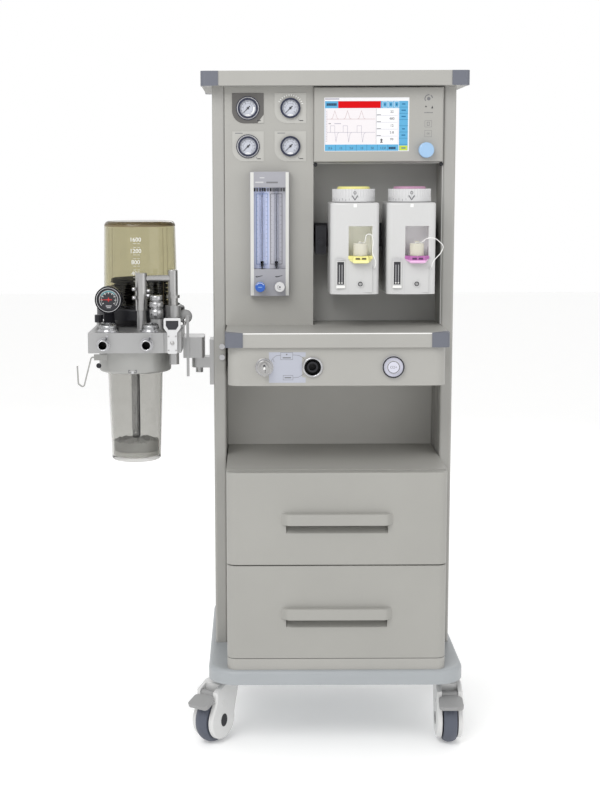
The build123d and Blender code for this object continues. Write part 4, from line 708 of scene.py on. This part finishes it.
for k, wide in enumerate((7.0, 9.0, 9.0, 0.0, 6.0, 8.0)):
    if wide:
        v = 1332.8 - 12.75 * k
        screen.rect(144.2 - wide / 2, 144.2 + wide / 2, v - 1.2, v + 1.2, "screen_deep", 0.25)
screen.rect(S0 + 1.5, 134.0, T0 + 1.0, 1250.0, "screen_blue", 0.2)
for k, value in enumerate(("0.6", "12", "2.0", "15", "50", "1:2.0")):
    u = S0 + 2.0 + 21.9 * k
    screen.rect(u + 21.2, u + 21.8, T0 + 1.0, 1250.0, "screen_deep", 0.25)
    screen.figures(value, u + 10.8, 1242.4, 6.4, "ink_and_shadow", 0.3)
screen.rect(113.5, 128.5, 1239.9, 1245.1, "screen_deep", 0.3)
for k in range(4):
    screen.rect(114.6 + 3.4 * k, 116.8 + 3.4 * k, 1240.8, 1244.3, "ink_and_shadow", 0.35)
screen.rect(136.0, S1 - 3.0, T0 + 1.6, 1247.6, "screen_green", 0.3)
screen.rect(140.0, 149.0, 1241.4, 1243.6, "screen_deep", 0.35)
screen.stroke([(S0 + 6, 1302.3), (85, 1302.3)], 0.7, "trace", 0.25)
screen.stroke([(S0 + 6, 1275.0), (85, 1275.0)], 0.6, "trace_grey", 0.25)
for u in (1.0, 27.5, 56.5):
    screen.stroke([(u + du, v) for du, v in PRESSURE_WAVE], 0.6, "trace", 0.28)
    screen.stroke([(u + du, v) for du, v in FLOW_WAVE], 0.6, "trace_grey", 0.28)
screen.stroke([(S0 + 5.6, 1256), (S0 + 5.6, 1320)], 0.45, "trace_grey", 0.25)
for k in range(13):
    screen.rect(S0 + 3.4, S0 + 5.2, 1256 + 5.1 * k, 1256.6 + 5.1 * k, "trace_grey", 0.25)
screen.rect(S0 + 9, S0 + 14, 1292.4, 1293.8, "grey_ink_and_highlight", 0.25)
screen.rect(S0 + 21, S0 + 35, 1292.4, 1293.6, "trace_grey", 0.25)
screen.stroke([(87.4, 1250.8), (87.4, 1323.4)], 0.5, "grey_ink_and_highlight", 0.3)
for k, value in enumerate(("22", "480", "12", "5.8", "99")):
    v = 1317.0 - 14.2 * k
    screen.figures(value, 120.0, v, 7.2, "ink_and_shadow", 0.3)
    if k < 4:
        screen.rect(88.0, 131.0, v - 7.5, v - 7.1, "trace_grey", 0.3)
        screen.rect(88.5, 97.0, v - 6.6, v - 5.4, "grey_ink_and_highlight", 0.3)
screen.disc(98.5, 1259.5, 2.4, "grey_ink_and_highlight", 0.3)
screen.polygon([(95.6, 1253.2), (101.4, 1253.2), (98.5, 1260)], "grey_ink_and_highlight", 0.3)
screen.rect(131.4, 134.6, 1250.8, 1323.4, "screen_pale", 0.25)
screen.done()

marks = Print("monitor_marks", "trolley", front(-8.0))
marks.ring(196.0, 1343.5, 6.9, 8.9, "grey_ink_and_highlight", 0.08, 215, 80, 20)
marks.ring(196.0, 1343.5, 6.9, 8.9, "grey_ink_and_highlight", 0.08, 60, 10, 8)
marks.disc(196.0, 1343.5, 3.6, "grey_ink_and_highlight", 0.08)
marks.disc(190.4, 1327.5, 1.6, "ink_and_shadow", 0.08)
marks.polygon([(201.4, 1323.5), (205.4, 1323.5), (203.6, 1329.6)], "ink_and_shadow", 0.08)
for k in range(7):
    marks.rect(187.4 + 2.6 * k, 189.2 + 2.6 * k, 1314.0, 1316.0, "grey_ink_and_highlight", 0.08)
for v in (1292.0, 1272.0):
    marks.frame(188.2, 203.0, v - 6.8, v + 6.8, 0.5, "grey_ink_and_highlight", 0.08)
marks.frame(193.0, 198.2, 1288.2, 1295.8, 0.8, "grey_ink_and_highlight", 0.08)
marks.figures("00", 195.6, 1272.0, 6.0, "grey_ink_and_highlight", 0.1)
marks.done()
lathe(
    "encoder_dish", "encoder", (191, -25.0, 1238), FORWARD,
    [(15.6, -1.5), (15.2, 0.1), (13.0, 0.3), (11.0, -0.1), (6.0, -0.2), (0, -0.2)], "light_blue",
)
# Black line along the panel just under the lid's overhang: painted shadow.
lid_shadow = Print("lid_shadow_line", "trolley", front(-0.2))
lid_shadow.rect(-42.0, 228.5, 1368.2, 1369.9, "ink_and_shadow", 0.1)
lid_shadow.done()
screws("bay_screws", "trolley", [(-39, 0.0, 1209), (225, 0.0, 1209)], FORWARD, 4.2, "black")

# ------------------------ flowmeter
rails = Print("flowmeter_rails", "trolley", front(-22.0))
for u0, u1 in ((-175.4, -168.4), (-101.8, -95.1)):
    rails.rect(u0, u1, 936.5, 1193.5, "flow_rail", 0.5, 0.5)
rails.rect(-165, -148, 1171.5, 1174.0, "pale_ink_and_highlight", 0.06)
rails.rect(-142, -118, 1170.5, 1174.0, "grey_ink_and_highlight", 0.06)
rails.rect(-156, -146, 1181.0, 1183.0, "pale_ink_and_highlight", 0.06)
for x in (-157.0, -115.5):
    tail = ((-7.4, 975.0), (-3.5, 974.6), (7, 978.0), (7, 978.8), (-2, 977.2))
    rails.polygon([(x + du, v) for du, v in tail], "ink_and_shadow", 0.06)
    rails.polygon([(x - 8.6, 976.6), (x - 6.2, 974.0), (x - 4.0, 977.6)], "ink_and_shadow", 0.07)
rails.done()
scale = Print("flowmeter_scale", "trolley", front(-6.0))
scale.rect(-170.3, -135.6, *WINDOW_Z, "flow_blue", 0.1)
scale.rect(-135.6, -100.2, *WINDOW_Z, "flow_grey", 0.1)
for k in range(12):
    scale.rect(-168.5 + 5.6 * k, -164.6 + 5.6 * k, 1153.5, 1160.6, "grey_ink_and_highlight" if k % 3 else "ink_and_shadow", 0.15)
for x, key in zip(FLOW_TUBE_X.values(), ("blue_line", "ink_and_shadow")):
    scale.frame(x - 12.5, x + 12.5, 1001.0, 1149.0, 1.0, key, 0.2)
    scale.rect(x - 0.9, x + 0.9, 1003, 1149.0, "grey_ink_and_highlight", 0.2)
    for k in range(15):
        scale.rect(x + 8.0, x + 11.0, 1008 + 9.5 * k, 1008.5 + 9.5 * k, "grey_ink_and_highlight", 0.25)
        scale.rect(x - 11.0, x - 9.0, 1008 + 9.5 * k, 1008.5 + 9.5 * k, "grey_ink_and_highlight", 0.25)
scale.done()
x, z = FLOW_KNOB_X["left"], FLOW_KNOB_Z
knob_blue = Print("flow_knob_marks_and_highlight_left", "flow_knob_left", front(-45.0))
knob_blue.disc(x, z, 8.2, "blue", 0.05)
knob_blue.rect(x - 4.0, x + 4.0, z - 0.6, z + 0.6, "light_blue", 0.1)
# White arc over the top of the blue knob: painted highlight.
knob_blue.ring(x, z, 8.2, 9.0, "white_ink_and_highlight", 0.06, 30, 150, 12)
knob_blue.done()
x = FLOW_KNOB_X["right"]
knob_white = Print("flow_knob_mark_right", "flow_knob_right", front(-45.0))
knob_white.disc(x, z, 2.2, "grey_ink_and_highlight", 0.05)
knob_white.ring(x, z, 4.4, 5.2, "grey_ink_and_highlight", 0.05, 120, 300, 14)
knob_white.done()
for name, x in FLOW_TUBE_X.items():
    lathe(
        f"float_{name}", f"flow_float_{name}", (x, FLOW_TUBE_Y, 997.0), UP,
        [(0, 0), (2.0, 0.4), (2.6, 4.0), (3.3, 8.0), (3.3, 10.4), (2.6, 11.0), (0, 11.2)], "rubber", 24,
    )


# ------------------------ vaporizers
def body_front(x):
    """Bowed front of a vaporizer: u is X from its middle, v is Z."""
    return lambda u, v, lift: P(x + u, -85.0 + 5.0 * (u / 39.5) ** 2 - lift, v)


# Collar apron from top to bottom: half width, Y and Z at its sides, then the same at its nose.
APRON_ROWS = (
    ((28.2, -72.4, 1022.2), (14.3, -97.1, 1022.2)),
    ((27.0, -75.5, 1017.0), (15.4, -101.4, 1013.4)),
    ((25.6, -77.0, 1014.6), (15.8, -102.8, 1009.0)),
    ((22.0, -78.0, 1013.0), (13.0, -97.1, 1007.0)),
)
for name, collar_key, slot_key, edge_key in (
    ("left", "yellow", "slot_brown", "pale_yellow"),
    ("right", "purple", "slot_plum", "pink"),
):
    x = VAPORIZER_X[name]
    dial = Print(f"vaporizer_dial_marks_{name}", f"vaporizer_dial_{name}", drum(x, DIAL_Y, lambda v: 44.9))
    dial.ring(0, 1150.8, 1.9, 3.1, "grey_ink_and_highlight", 0.3, 0, 360, 24)
    dial.stroke([(-5.4, 1144.6), (-0.4, 1137.0), (0.4, 1137.0), (5.4, 1144.6)], 2.2, "grey_ink_and_highlight", 0.35)
    for k in range(1, 10):
        u = -7.6 * k - 4.0
        if k % 2:
            dial.figures(str((k + 1) // 2), u, 1137.4, 5.6, "grey_ink_and_highlight", 0.15)
        else:
            dial.rect(u - 0.4, u + 0.4, 1134.0, 1138.4, "grey_ink_and_highlight", 0.15)
    dial.done()
    trim = Print(f"vaporizer_trim_{name}", "trolley", body_front(x))
    trim.rect(-3.2, 3.2, 1121.6, 1128.6, "white_ink_and_highlight", 0.35, 0.4)
    for u in (-13.4, 35.8):
        trim.rect(u - 0.45, u + 0.45, 946.0, 1014.5, "pale_ink_and_highlight", 0.1)
    trim.done()
    glass = Print(f"sight_glass_{name}", "trolley", front(-83.5))
    c = x - 29.0
    glass.rect(c - 6.9, c + 6.9, 963.2, 1009.8, "ink_and_shadow", 0.1)
    # Grey strips with pale centres down the dark sight glass: painted highlights.
    for u in (-2.6, 2.8):
        glass.rect(c + u - 1.1, c + u + 1.1, 966.0, 1004.0, "grey_ink_and_highlight", 0.2)
        glass.rect(c + u - 0.3, c + u + 0.3, 966.0, 1004.0, "pale_ink_and_highlight", 0.3)
        glass.ring(c + u, 966.6, 0.6, 1.6, "white_ink_and_highlight", 0.3, 0, 360, 12)
    glass.done()
    sill = Print(f"sight_sill_{name}", "trolley", front(-86.0))
    sill.rect(c - 9.2, c + 9.2, 956.0, 961.0, "white_ink_and_highlight", 1.2, 2.4)
    sill.rect(c - 9.2, c + 9.2, 1014.0, 1016.2, "pale_ink_and_highlight", 1.2, 2.4)
    sill.done()
    n = x + NICHE_X
    plug = Print(f"drain_plug_{name}", "trolley", front(-87.0))
    plug.ring(n, 964.5, 3.0, 4.9, "ink_and_shadow", 0.08)
    plug.done()
    collar = Print(f"collar_marks_{name}", "trolley", level(COLLAR_TOP))
    hexagon, inner = (
        [(n + r * c, COLLAR_Y + r * s) for c, s in circle(6)] for r in (28.4, 24.4)
    )
    for k in range(6):
        j = (k + 1) % 6
        if min(hexagon[k][1], hexagon[j][1]) < -72.5:
            collar.polygon([inner[k], hexagon[k], hexagon[j], inner[j]], edge_key, 0.1)
    for u0, u1 in ((-11.5, -1.4), (1.4, 11.5)):
        collar.polygon([(n + u0, -92.6), (n + u1, -92.6), (n + u1, -89.4), (n + u0, -89.4)], slot_key, 0.15)
    collar.rect(n - 1.2, n + 1.2, -94.8, -90.0, "white_ink_and_highlight", 0.2)
    collar.done()
    apron = bmesh.new()
    verts = []
    for side, nose in APRON_ROWS:
        row = ((-side[0], *side[1:]), (-nose[0], *nose[1:]), nose, side)
        verts.append([apron.verts.new(P(n + u, y, z)) for u, y, z in row])
    for row, (top, low) in enumerate(zip(verts, verts[1:])):
        for k in range(3):
            face = apron.faces.new((top[k], low[k], low[k + 1], top[k + 1]))
            face.material_index = 1 if row else 0
    for u0, u1 in ((-11.0, -1.6), (1.6, 11.0)):
        corners = [(u0, -98.8, 1019.0), (u0, -101.0, 1015.4), (u1, -101.0, 1015.4), (u1, -98.8, 1019.0)]
        face = apron.faces.new([apron.verts.new(P(n + a, b - 0.25, c)) for a, b, c in corners])
        face.material_index = 2
    finish_piece(f"collar_apron_{name}", "trolley", apron, [collar_key, edge_key, slot_key])
    lathe(
        f"filler_cap_top_{name}", f"filler_cap_{name}", (n, -78, 1047.5), UP,
        [(13.3, -0.6), (13.0, 0.25), (11.6, 0.3), (11.0, 0.15), (2.6, 0.15)], "cream_top",
    )

# ------------------------ control panel
label = Print("control_label", "trolley", front(-160.0))
label.rect(-138.6, -71.2, 769.5, 832.0, "label", 0.06)
label.rect(-71.2, -64.0, 769.5, 780.5, "label", 0.06)
label.rect(-71.2, -64.0, 822.5, 832.0, "label", 0.06)
label.frame(-115.0, -90.0, 816.5, 832.0, 0.7, "grey_ink_and_highlight", 0.1)
label.frame(-110.0, -89.6, 775.0, 784.8, 0.7, "grey_ink_and_highlight", 0.1)
label.stroke([(-110, 820.6), (-95, 820.6)], 2.4, "grey_ink_and_highlight", 0.1)
label.disc(-102.5, 827.4, 1.6, "grey_ink_and_highlight", 0.1)
label.stroke([(-106, 779.9), (-94, 779.9)], 2.4, "grey_ink_and_highlight", 0.1)
for line in (
    [(-115, 826), (-124, 825), (-130, 820), (-134, 814)],
    [(-90, 826.5), (-78, 825.5), (-70, 821), (-65, 816)],
    [(-89.6, 779.6), (-79, 780.6), (-71, 785), (-66, 789)],
    [(-130, 818), (-128, 812)],
):
    label.stroke(line, 0.8, "grey_ink_and_highlight", 0.1)
label.done()
pointer = Print("selector_mark", "selector", front(-179.5))
pointer.disc(SELECTOR_X, 806.4, 2.5, "ink_and_shadow", 0.08)
pointer.polygon([(-150.6, 799.2), (-145.4, 799.2), (SELECTOR_X, 805.6)], "white_ink_and_highlight", 0.1)
pointer.stroke([(-146.4, 792.6), (-145.8, 799)], 1.0, "ink_and_shadow", 0.12)
pointer.done()
lathe(
    "selector_collar", "trolley", (SELECTOR_X, -160.0, CONTROL_Z), FORWARD,
    [(18.6, 0), (18.4, 0.6), (17.2, 1.0), (17.0, 0.2)], "steel",
)
lathe(
    "outlet_ring", "trolley", (OUTLET_X, -164.0, CONTROL_Z), FORWARD,
    [(20.6, -3.6), (20.6, -0.8), (19.6, 0.5), (18.0, 0.6), (17.05, -0.4), (17.0, -3.0)], "chrome", 64,
)
ring = Print("flush_ring", "trolley", front(-166.0))
ring.ring(FLUSH_X, CONTROL_Z, 19.4, 22.4, "ink_and_shadow", 0.08, 0, 360, 64)
ring.done()
button = Print("flush_mark", "flush", front(-168.0))
button.ring(FLUSH_X, CONTROL_Z, 11.4, 12.4, "ink_and_shadow", 0.05)
button.disc(FLUSH_X, CONTROL_Z, 11.3, "lavender", 0.04)
button.figures("O2+", FLUSH_X, 801.2, 7.6, "grey_ink_and_highlight", 0.1)
button.done()


# ------------------------ bellows dome and manometer
def dome_radius(v):
    """Outer radius of the dome at height v."""
    return 80.5 - 3.5 * (v - 909.0) / 171.0


dome = Print("dome_scale", "dome", drum(DOME_X, DOME_Y, dome_radius))
for k, value in enumerate(("1600", "1200", "800", "400")):
    v = 1052.0 - 24.0 * k
    dome.figures(value, -4.0, v, 12.5, "white_ink_and_highlight", 0.25)
    for j in (1, 2):
        dome.rect(-9.0, -3.0, v - 8.0 * j - 0.4, v - 8.0 * j + 0.4, "dim_ink", 0.25)
        dome.rect(0.0, 5.0, v - 8.0 * j - 0.4, v - 8.0 * j + 0.4, "dim_ink", 0.25)
for degree in (-54, -45, 43, 52):
    u = math.radians(degree) * 78.5
    for k in range(8):
        v = 912 + 20.6 * k
        dome.rect(u - 0.45, u + 0.45, v, v + 20.6, "amber_line", 0.12)
dome.done()
lathe(
    "dome_rim", "dome", (DOME_X, DOME_Y, 1079.0), UP,
    [(77.15, 0.0), (76.9, 3.0), (75.5, 6.4), (72.5, 9.4), (69.0, 10.9), (67.6, 11.0)], "amber_line", 96,
)
lathe(
    "dome_collar", "dome", (DOME_X, DOME_Y, 905.4), UP,
    [(86.2, 0.2), (86.2, 3.4), (85.4, 4.0), (81.4, 4.0), (80.7, 5.4)], "rubber", 96,
)
gauge = Print("manometer_face", "absorber", front(-40.0))
gauge.disc(*GAUGE, 24.4, "ink_and_shadow", 0.05)
gauge.ring(*GAUGE, 18.6, 19.8, "pale_ink_and_highlight", 0.1, 220, -40, 44)
gauge.ring(*GAUGE, 16.4, 18.2, "teal_ink", 0.1, 150, 40, 20)
gauge.ticks(*GAUGE, 12.6, 16.0, 215, -35, 9, 1.1, "white_ink_and_highlight", 0.12)
gauge.ticks(*GAUGE, 14.4, 16.0, 215, -35, 41, 0.4, "white_ink_and_highlight", 0.12)
gauge.stroke([(GAUGE_X - 5.5, GAUGE_Z), (GAUGE_X + 5.5, GAUGE_Z)], 1.8, "red", 0.14)
gauge.stroke([(GAUGE_X, GAUGE_Z - 4), (GAUGE_X, GAUGE_Z + 4)], 1.6, "red", 0.14)
for half, low, high in ((6, 14.0, 12.2), (4, 17.4, 15.8)):
    gauge.rect(GAUGE_X - half, GAUGE_X + half, GAUGE_Z - low, GAUGE_Z - high, "pale_ink_and_highlight", 0.12)
gauge.done()
lathe(
    "manometer_rim", "absorber", (GAUGE_X, -45.0, GAUGE_Z), FORWARD,
    [(28.5, -0.6), (27.8, 0.2), (26.0, 0.5), (24.6, 0.1), (24.45, -4.6)], "rubber", 72,
)
lathe(
    "manometer_ring", "absorber", (GAUGE_X, -45.0, GAUGE_Z), FORWARD,
    [(25.6, 0.42), (25.1, 0.62), (24.6, 0.3)], "pale_ink_and_highlight", 72,
)
lathe(
    "manometer_foot", "absorber", (GAUGE_X, -33.0, BLOCK_TOP), UP,
    [(19.0, 0), (18.6, 3.0), (14.5, 9.0), (11.6, 18.0), (10.6, 30.0), (10.4, 36.0)], "rubber", 40,
)

# ------------------------ manifold, valves and fittings
for side, x in VALVE_X.items():
    lathe(
        f"valve_ring_{side}", "absorber", (x, VALVE_Y, 867.1), UP,
        [(22.0, 0), (22.0, 2.2), (20.8, 3.0), (19.3, 3.0), (19.2, 5.0)], "chrome", 56,
    )
    lathe(
        f"valve_dome_{side}", "absorber", (x, VALVE_Y, 872.2), UP,
        [(18.6, 0), (18.4, 4.0), (17.0, 8.6), (13.6, 11.6), (8.0, 12.9), (0, 13.2)], "valve_glass", 48,
    )
    lathe(
        f"valve_nut_{side}", "absorber", (x, VALVE_Y, 881.2), UP,
        [(6.5, 0), (6.5, 3.2), (5.6, 3.9), (0, 4.1)], "silver", 6, smooth=False,
    )
    port = PORT_X[side]
    tube(
        f"port_tab_{side}", "absorber",
        [(port + 6, -120, 853), (port + 8, -124, 859), (port + 9, -130, 862)], 2.6, "chrome",
    )
    lathe(
        f"port_lip_{side}", "absorber", (port, -135.0, PORT_Z), FORWARD,
        [(11.0, -1.6), (10.8, 0.05), (8.8, 0.1), (8.5, -2.0)], "chrome", 48,
    )
lever = Print("lever_panel", "bag_lever", front(-118.0))
panel = ((-7.8, 874.4), (7.8, 874.4), (12.8, 882.2), (12.8, 892.8), (-12.8, 892.8), (-12.8, 882.2))
lever.polygon([(LEVER_X + u, v) for u, v in panel], "ink_and_shadow", 0.1)
lever.done()
screws(
    "lever_screws", "bag_lever",
    [(LEVER_X + u, -121.0, z) for z in (832, 861) for u in (-7.5, 7.5)], FORWARD, 1.6, "steel",
)
lathe(
    "lever_pin_cap", "absorber", (LEVER_X, -121.6, 847), FORWARD,
    [(3.9, -1.0), (3.9, 0.6), (3.0, 1.6), (0, 1.8)], "steel", 32,
)
apl = lathe(
    "apl_grip", "apl", (-374.0, -34.0, 889.5), UP,
    [
        (5.05, 0), (14.4, 0), (14.4, 18.5), (13.6, 19.4), (11.4, 19.6), (11.2, 23.0), (13.8, 23.6),
        (14.4, 24.6), (14.4, 34.0), (13.4, 35.2), (9.6, 35.6), (9.6, 38.0), (12.4, 38.6), (12.6, 39.4),
        (12.6, 47.4), (11.6, 48.8), (4.0, 49.4), (0, 49.4),
    ],
    "silver", 56,
)
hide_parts("apl_knob")
CLAMPS = ((-420.0, -14.0, 950.0), (-394.0, -8.0, 946.0), (-419.5, -16.0, 932.0), (-394.2, -12.0, 936.0))
for k, place in enumerate(CLAMPS):
    lathe(
        f"tube_clamp_{k}", "absorber", place, (1 if k % 2 else -1, -0.35, 0),
        [(4.2, 0), (4.2, 5), (3.2, 6.2), (0, 6.6)], "chrome", 20,
    )
lathe(
    "rear_clamp_knob", "absorber", (-317.5, 25.0, 889.0), (0.25, -1, 0),
    [(0, 0), (11.0, 0), (14.5, 3.0), (15.0, 8.0), (12.6, 11.6), (5.0, 12.8), (0, 12.9)], "pedal", 40,
)
tube("bag_arm_link", "absorber", [(-318, 10, 872), (-314, 6, 886), (-316, 22, 890)], 3.4, "steel")

# ------------------------ canister
random.seed(11)
GRAIN_ROWS, GRAIN_STEPS = 16, 64
bed = bmesh.new()
grains = []
for i in range(GRAIN_ROWS + 1):
    r = 47.6 * i / GRAIN_ROWS
    height = 629.0 + (4.0 * math.cos(r / 9.0) if i < GRAIN_ROWS else -1.0)
    grains.append(
        [
            bed.verts.new(P(CANISTER_X + r * c, CANISTER_Y + r * s, height + random.uniform(-2.4, 2.4)))
            for c, s in circle(GRAIN_STEPS if i else 1)
        ]
    )
foot_ring = [
    bed.verts.new(P(CANISTER_X + 47.4 * c, CANISTER_Y + 47.4 * s, 608.0)) for c, s in circle(GRAIN_STEPS)
]
for k in range(GRAIN_STEPS):
    j = (k + 1) % GRAIN_STEPS
    bed.faces.new((grains[0][0], grains[1][k], grains[1][j]))
    for a, b in zip(grains[1:], grains[2:]):
        bed.faces.new((a[k], b[k], b[j], a[j]))
    bed.faces.new((grains[-1][k], foot_ring[k], foot_ring[j], grains[-1][j]))
bed.faces.new(list(reversed(foot_ring)))
finish_piece("absorbent_granules", "canister", bed, ["granules"])
lathe(
    "canister_floor", "canister", (CANISTER_X, CANISTER_Y, 597.4), UP,
    [(0, 0), (46.0, 0), (47.6, 2.0), (47.8, 9.6), (46.8, 10.2), (0, 10.2)], "base_white", 64,
)
lathe(
    "canister_tube", "absorber", (CANISTER_X, CANISTER_Y, 634.0), UP,
    [(6.4, 0), (8.0, 0.4), (8.0, 14.6), (6.6, 14.8)], "silver", 32,
)
tube(
    "canister_rod", "absorber",
    [(CANISTER_X + 8.0, CANISTER_Y - 11.0, z) for z in (640, 700, 778)], 1.5, "ink_and_shadow",
)
lathe(
    "canister_band", "absorber", (CANISTER_X, CANISTER_Y, 779.4), UP,
    [(60.2, 0.0), (60.2, 6.0), (59.8, 6.4)], "steel", 72,
)
clip = Print("canister_clip", "absorber", drum(CANISTER_X, CANISTER_Y, lambda v: 76.0))
clip.frame(-9.0, 9.0, 782.0, 788.5, 1.8, "grey_ink_and_highlight", 0.4)
clip.rect(-2.4, 2.4, 780.5, 786.0, "pale_ink_and_highlight", 0.6)
clip.done()
screws("hook_clip", "absorber", [(-493.0, -75.0, 795.0)], FORWARD, 5.5, "black")

# ------------------------ screws, vents and rear fittings
screws(
    "rear_screws", "trolley",
    [(x, 300.0, z) for x in (-215, 0, 215) for z in (190, 480, 780, 1080, 1355)], BACKWARD, 3.5, "silver",
)
vents = Print("rear_vents", "trolley", rear(300.0))
for cu in (-110.0, 110.0):
    for k in range(10):
        vents.rect(cu - 60, cu + 60, 1180 + 11.0 * k, 1184.5 + 11.0 * k, "ink_and_shadow", 0.08, corner=2.0)
vents.frame(-190.0, 190.0, 880.0, 985.0, 1.2, "grey_ink_and_highlight", 0.08)
vents.done()
# White strip along the worktop's front edge: painted highlight.
shelf_painted_light = Print("worktop_edge_highlight", "trolley", front(-168.0))
shelf_painted_light.rect(-191.0, 191.0, 869.4, 871.4, "white_ink_and_highlight", 0.05)
shelf_painted_light.done()

# ------------------------ floor, light and camera
floor_mesh = bpy.data.meshes.new("floor")
reach = 12.0
floor_mesh.from_pydata(
    [(-reach, -reach, 0), (reach, -reach, 0), (reach, reach, 0), (-reach, reach, 0)], [], [(0, 1, 2, 3)]
)
floor = add_object("floor", floor_mesh)
floor_mesh.materials.append(surface("studio_floor", (0.93, 0.93, 0.925), 0.70, vary=0.01))
floor_shader = floor_mesh.materials[0].node_tree.nodes["Principled BSDF"]
floor_shader.inputs["Emission Color"].default_value = (1.0, 1.0, 1.0, 1.0)
floor_shader.inputs["Emission Strength"].default_value = 0.2

world = bpy.data.worlds.new("studio")
bpy.context.scene.world = world
world.use_nodes = True
sky = world.node_tree.nodes["Background"]
sky.inputs["Color"].default_value = (1.0, 1.0, 1.0, 1.0)
rays = world.node_tree.nodes.new("ShaderNodeLightPath")
power = world.node_tree.nodes.new("ShaderNodeMapRange")
power.inputs["To Min"].default_value = 0.82
power.inputs["To Max"].default_value = 1.0
world.node_tree.links.new(rays.outputs["Is Camera Ray"], power.inputs["Value"])
world.node_tree.links.new(power.outputs["Result"], sky.inputs["Strength"])


def area_light(name, place, target, size, power):
    """Soft rectangular light at place, aimed at target."""
    light = bpy.data.lights.new(name, "AREA")
    light.shape = "RECTANGLE"
    light.size, light.size_y = size
    light.energy = power
    holder = add_object(name, light)
    holder.location = place
    holder.rotation_euler = (Vector(target) - Vector(place)).to_track_quat("-Z", "Y").to_euler()


MIDDLE = (0.0, 0.0, 0.75)
area_light("key_light", (-1.1, -2.3, 2.9), (0.0, 0.0, 1.15), (2.0, 1.6), 46)
area_light("fill_light", (2.6, -2.4, 1.6), MIDDLE, (2.2, 2.0), 12)
area_light("back_light", (0.6, 2.8, 2.4), MIDDLE, (2.0, 1.4), 18)

camera_data = bpy.data.cameras.new("camera")
camera = add_object("camera", camera_data)
camera.location = P(-165.8, -3193.1, 1188.1)
camera.rotation_euler = (math.radians(90 - 8.51), math.radians(0.19), 0.0)
camera_data.sensor_fit = "VERTICAL"
camera_data.sensor_height = 36.0
camera_data.lens = 36.0 * 1504.8 / 800
camera_data.shift_x = (300 - 254.9) / 800
bpy.context.scene.camera = camera
bpy.context.scene.view_settings.view_transform = "Standard"
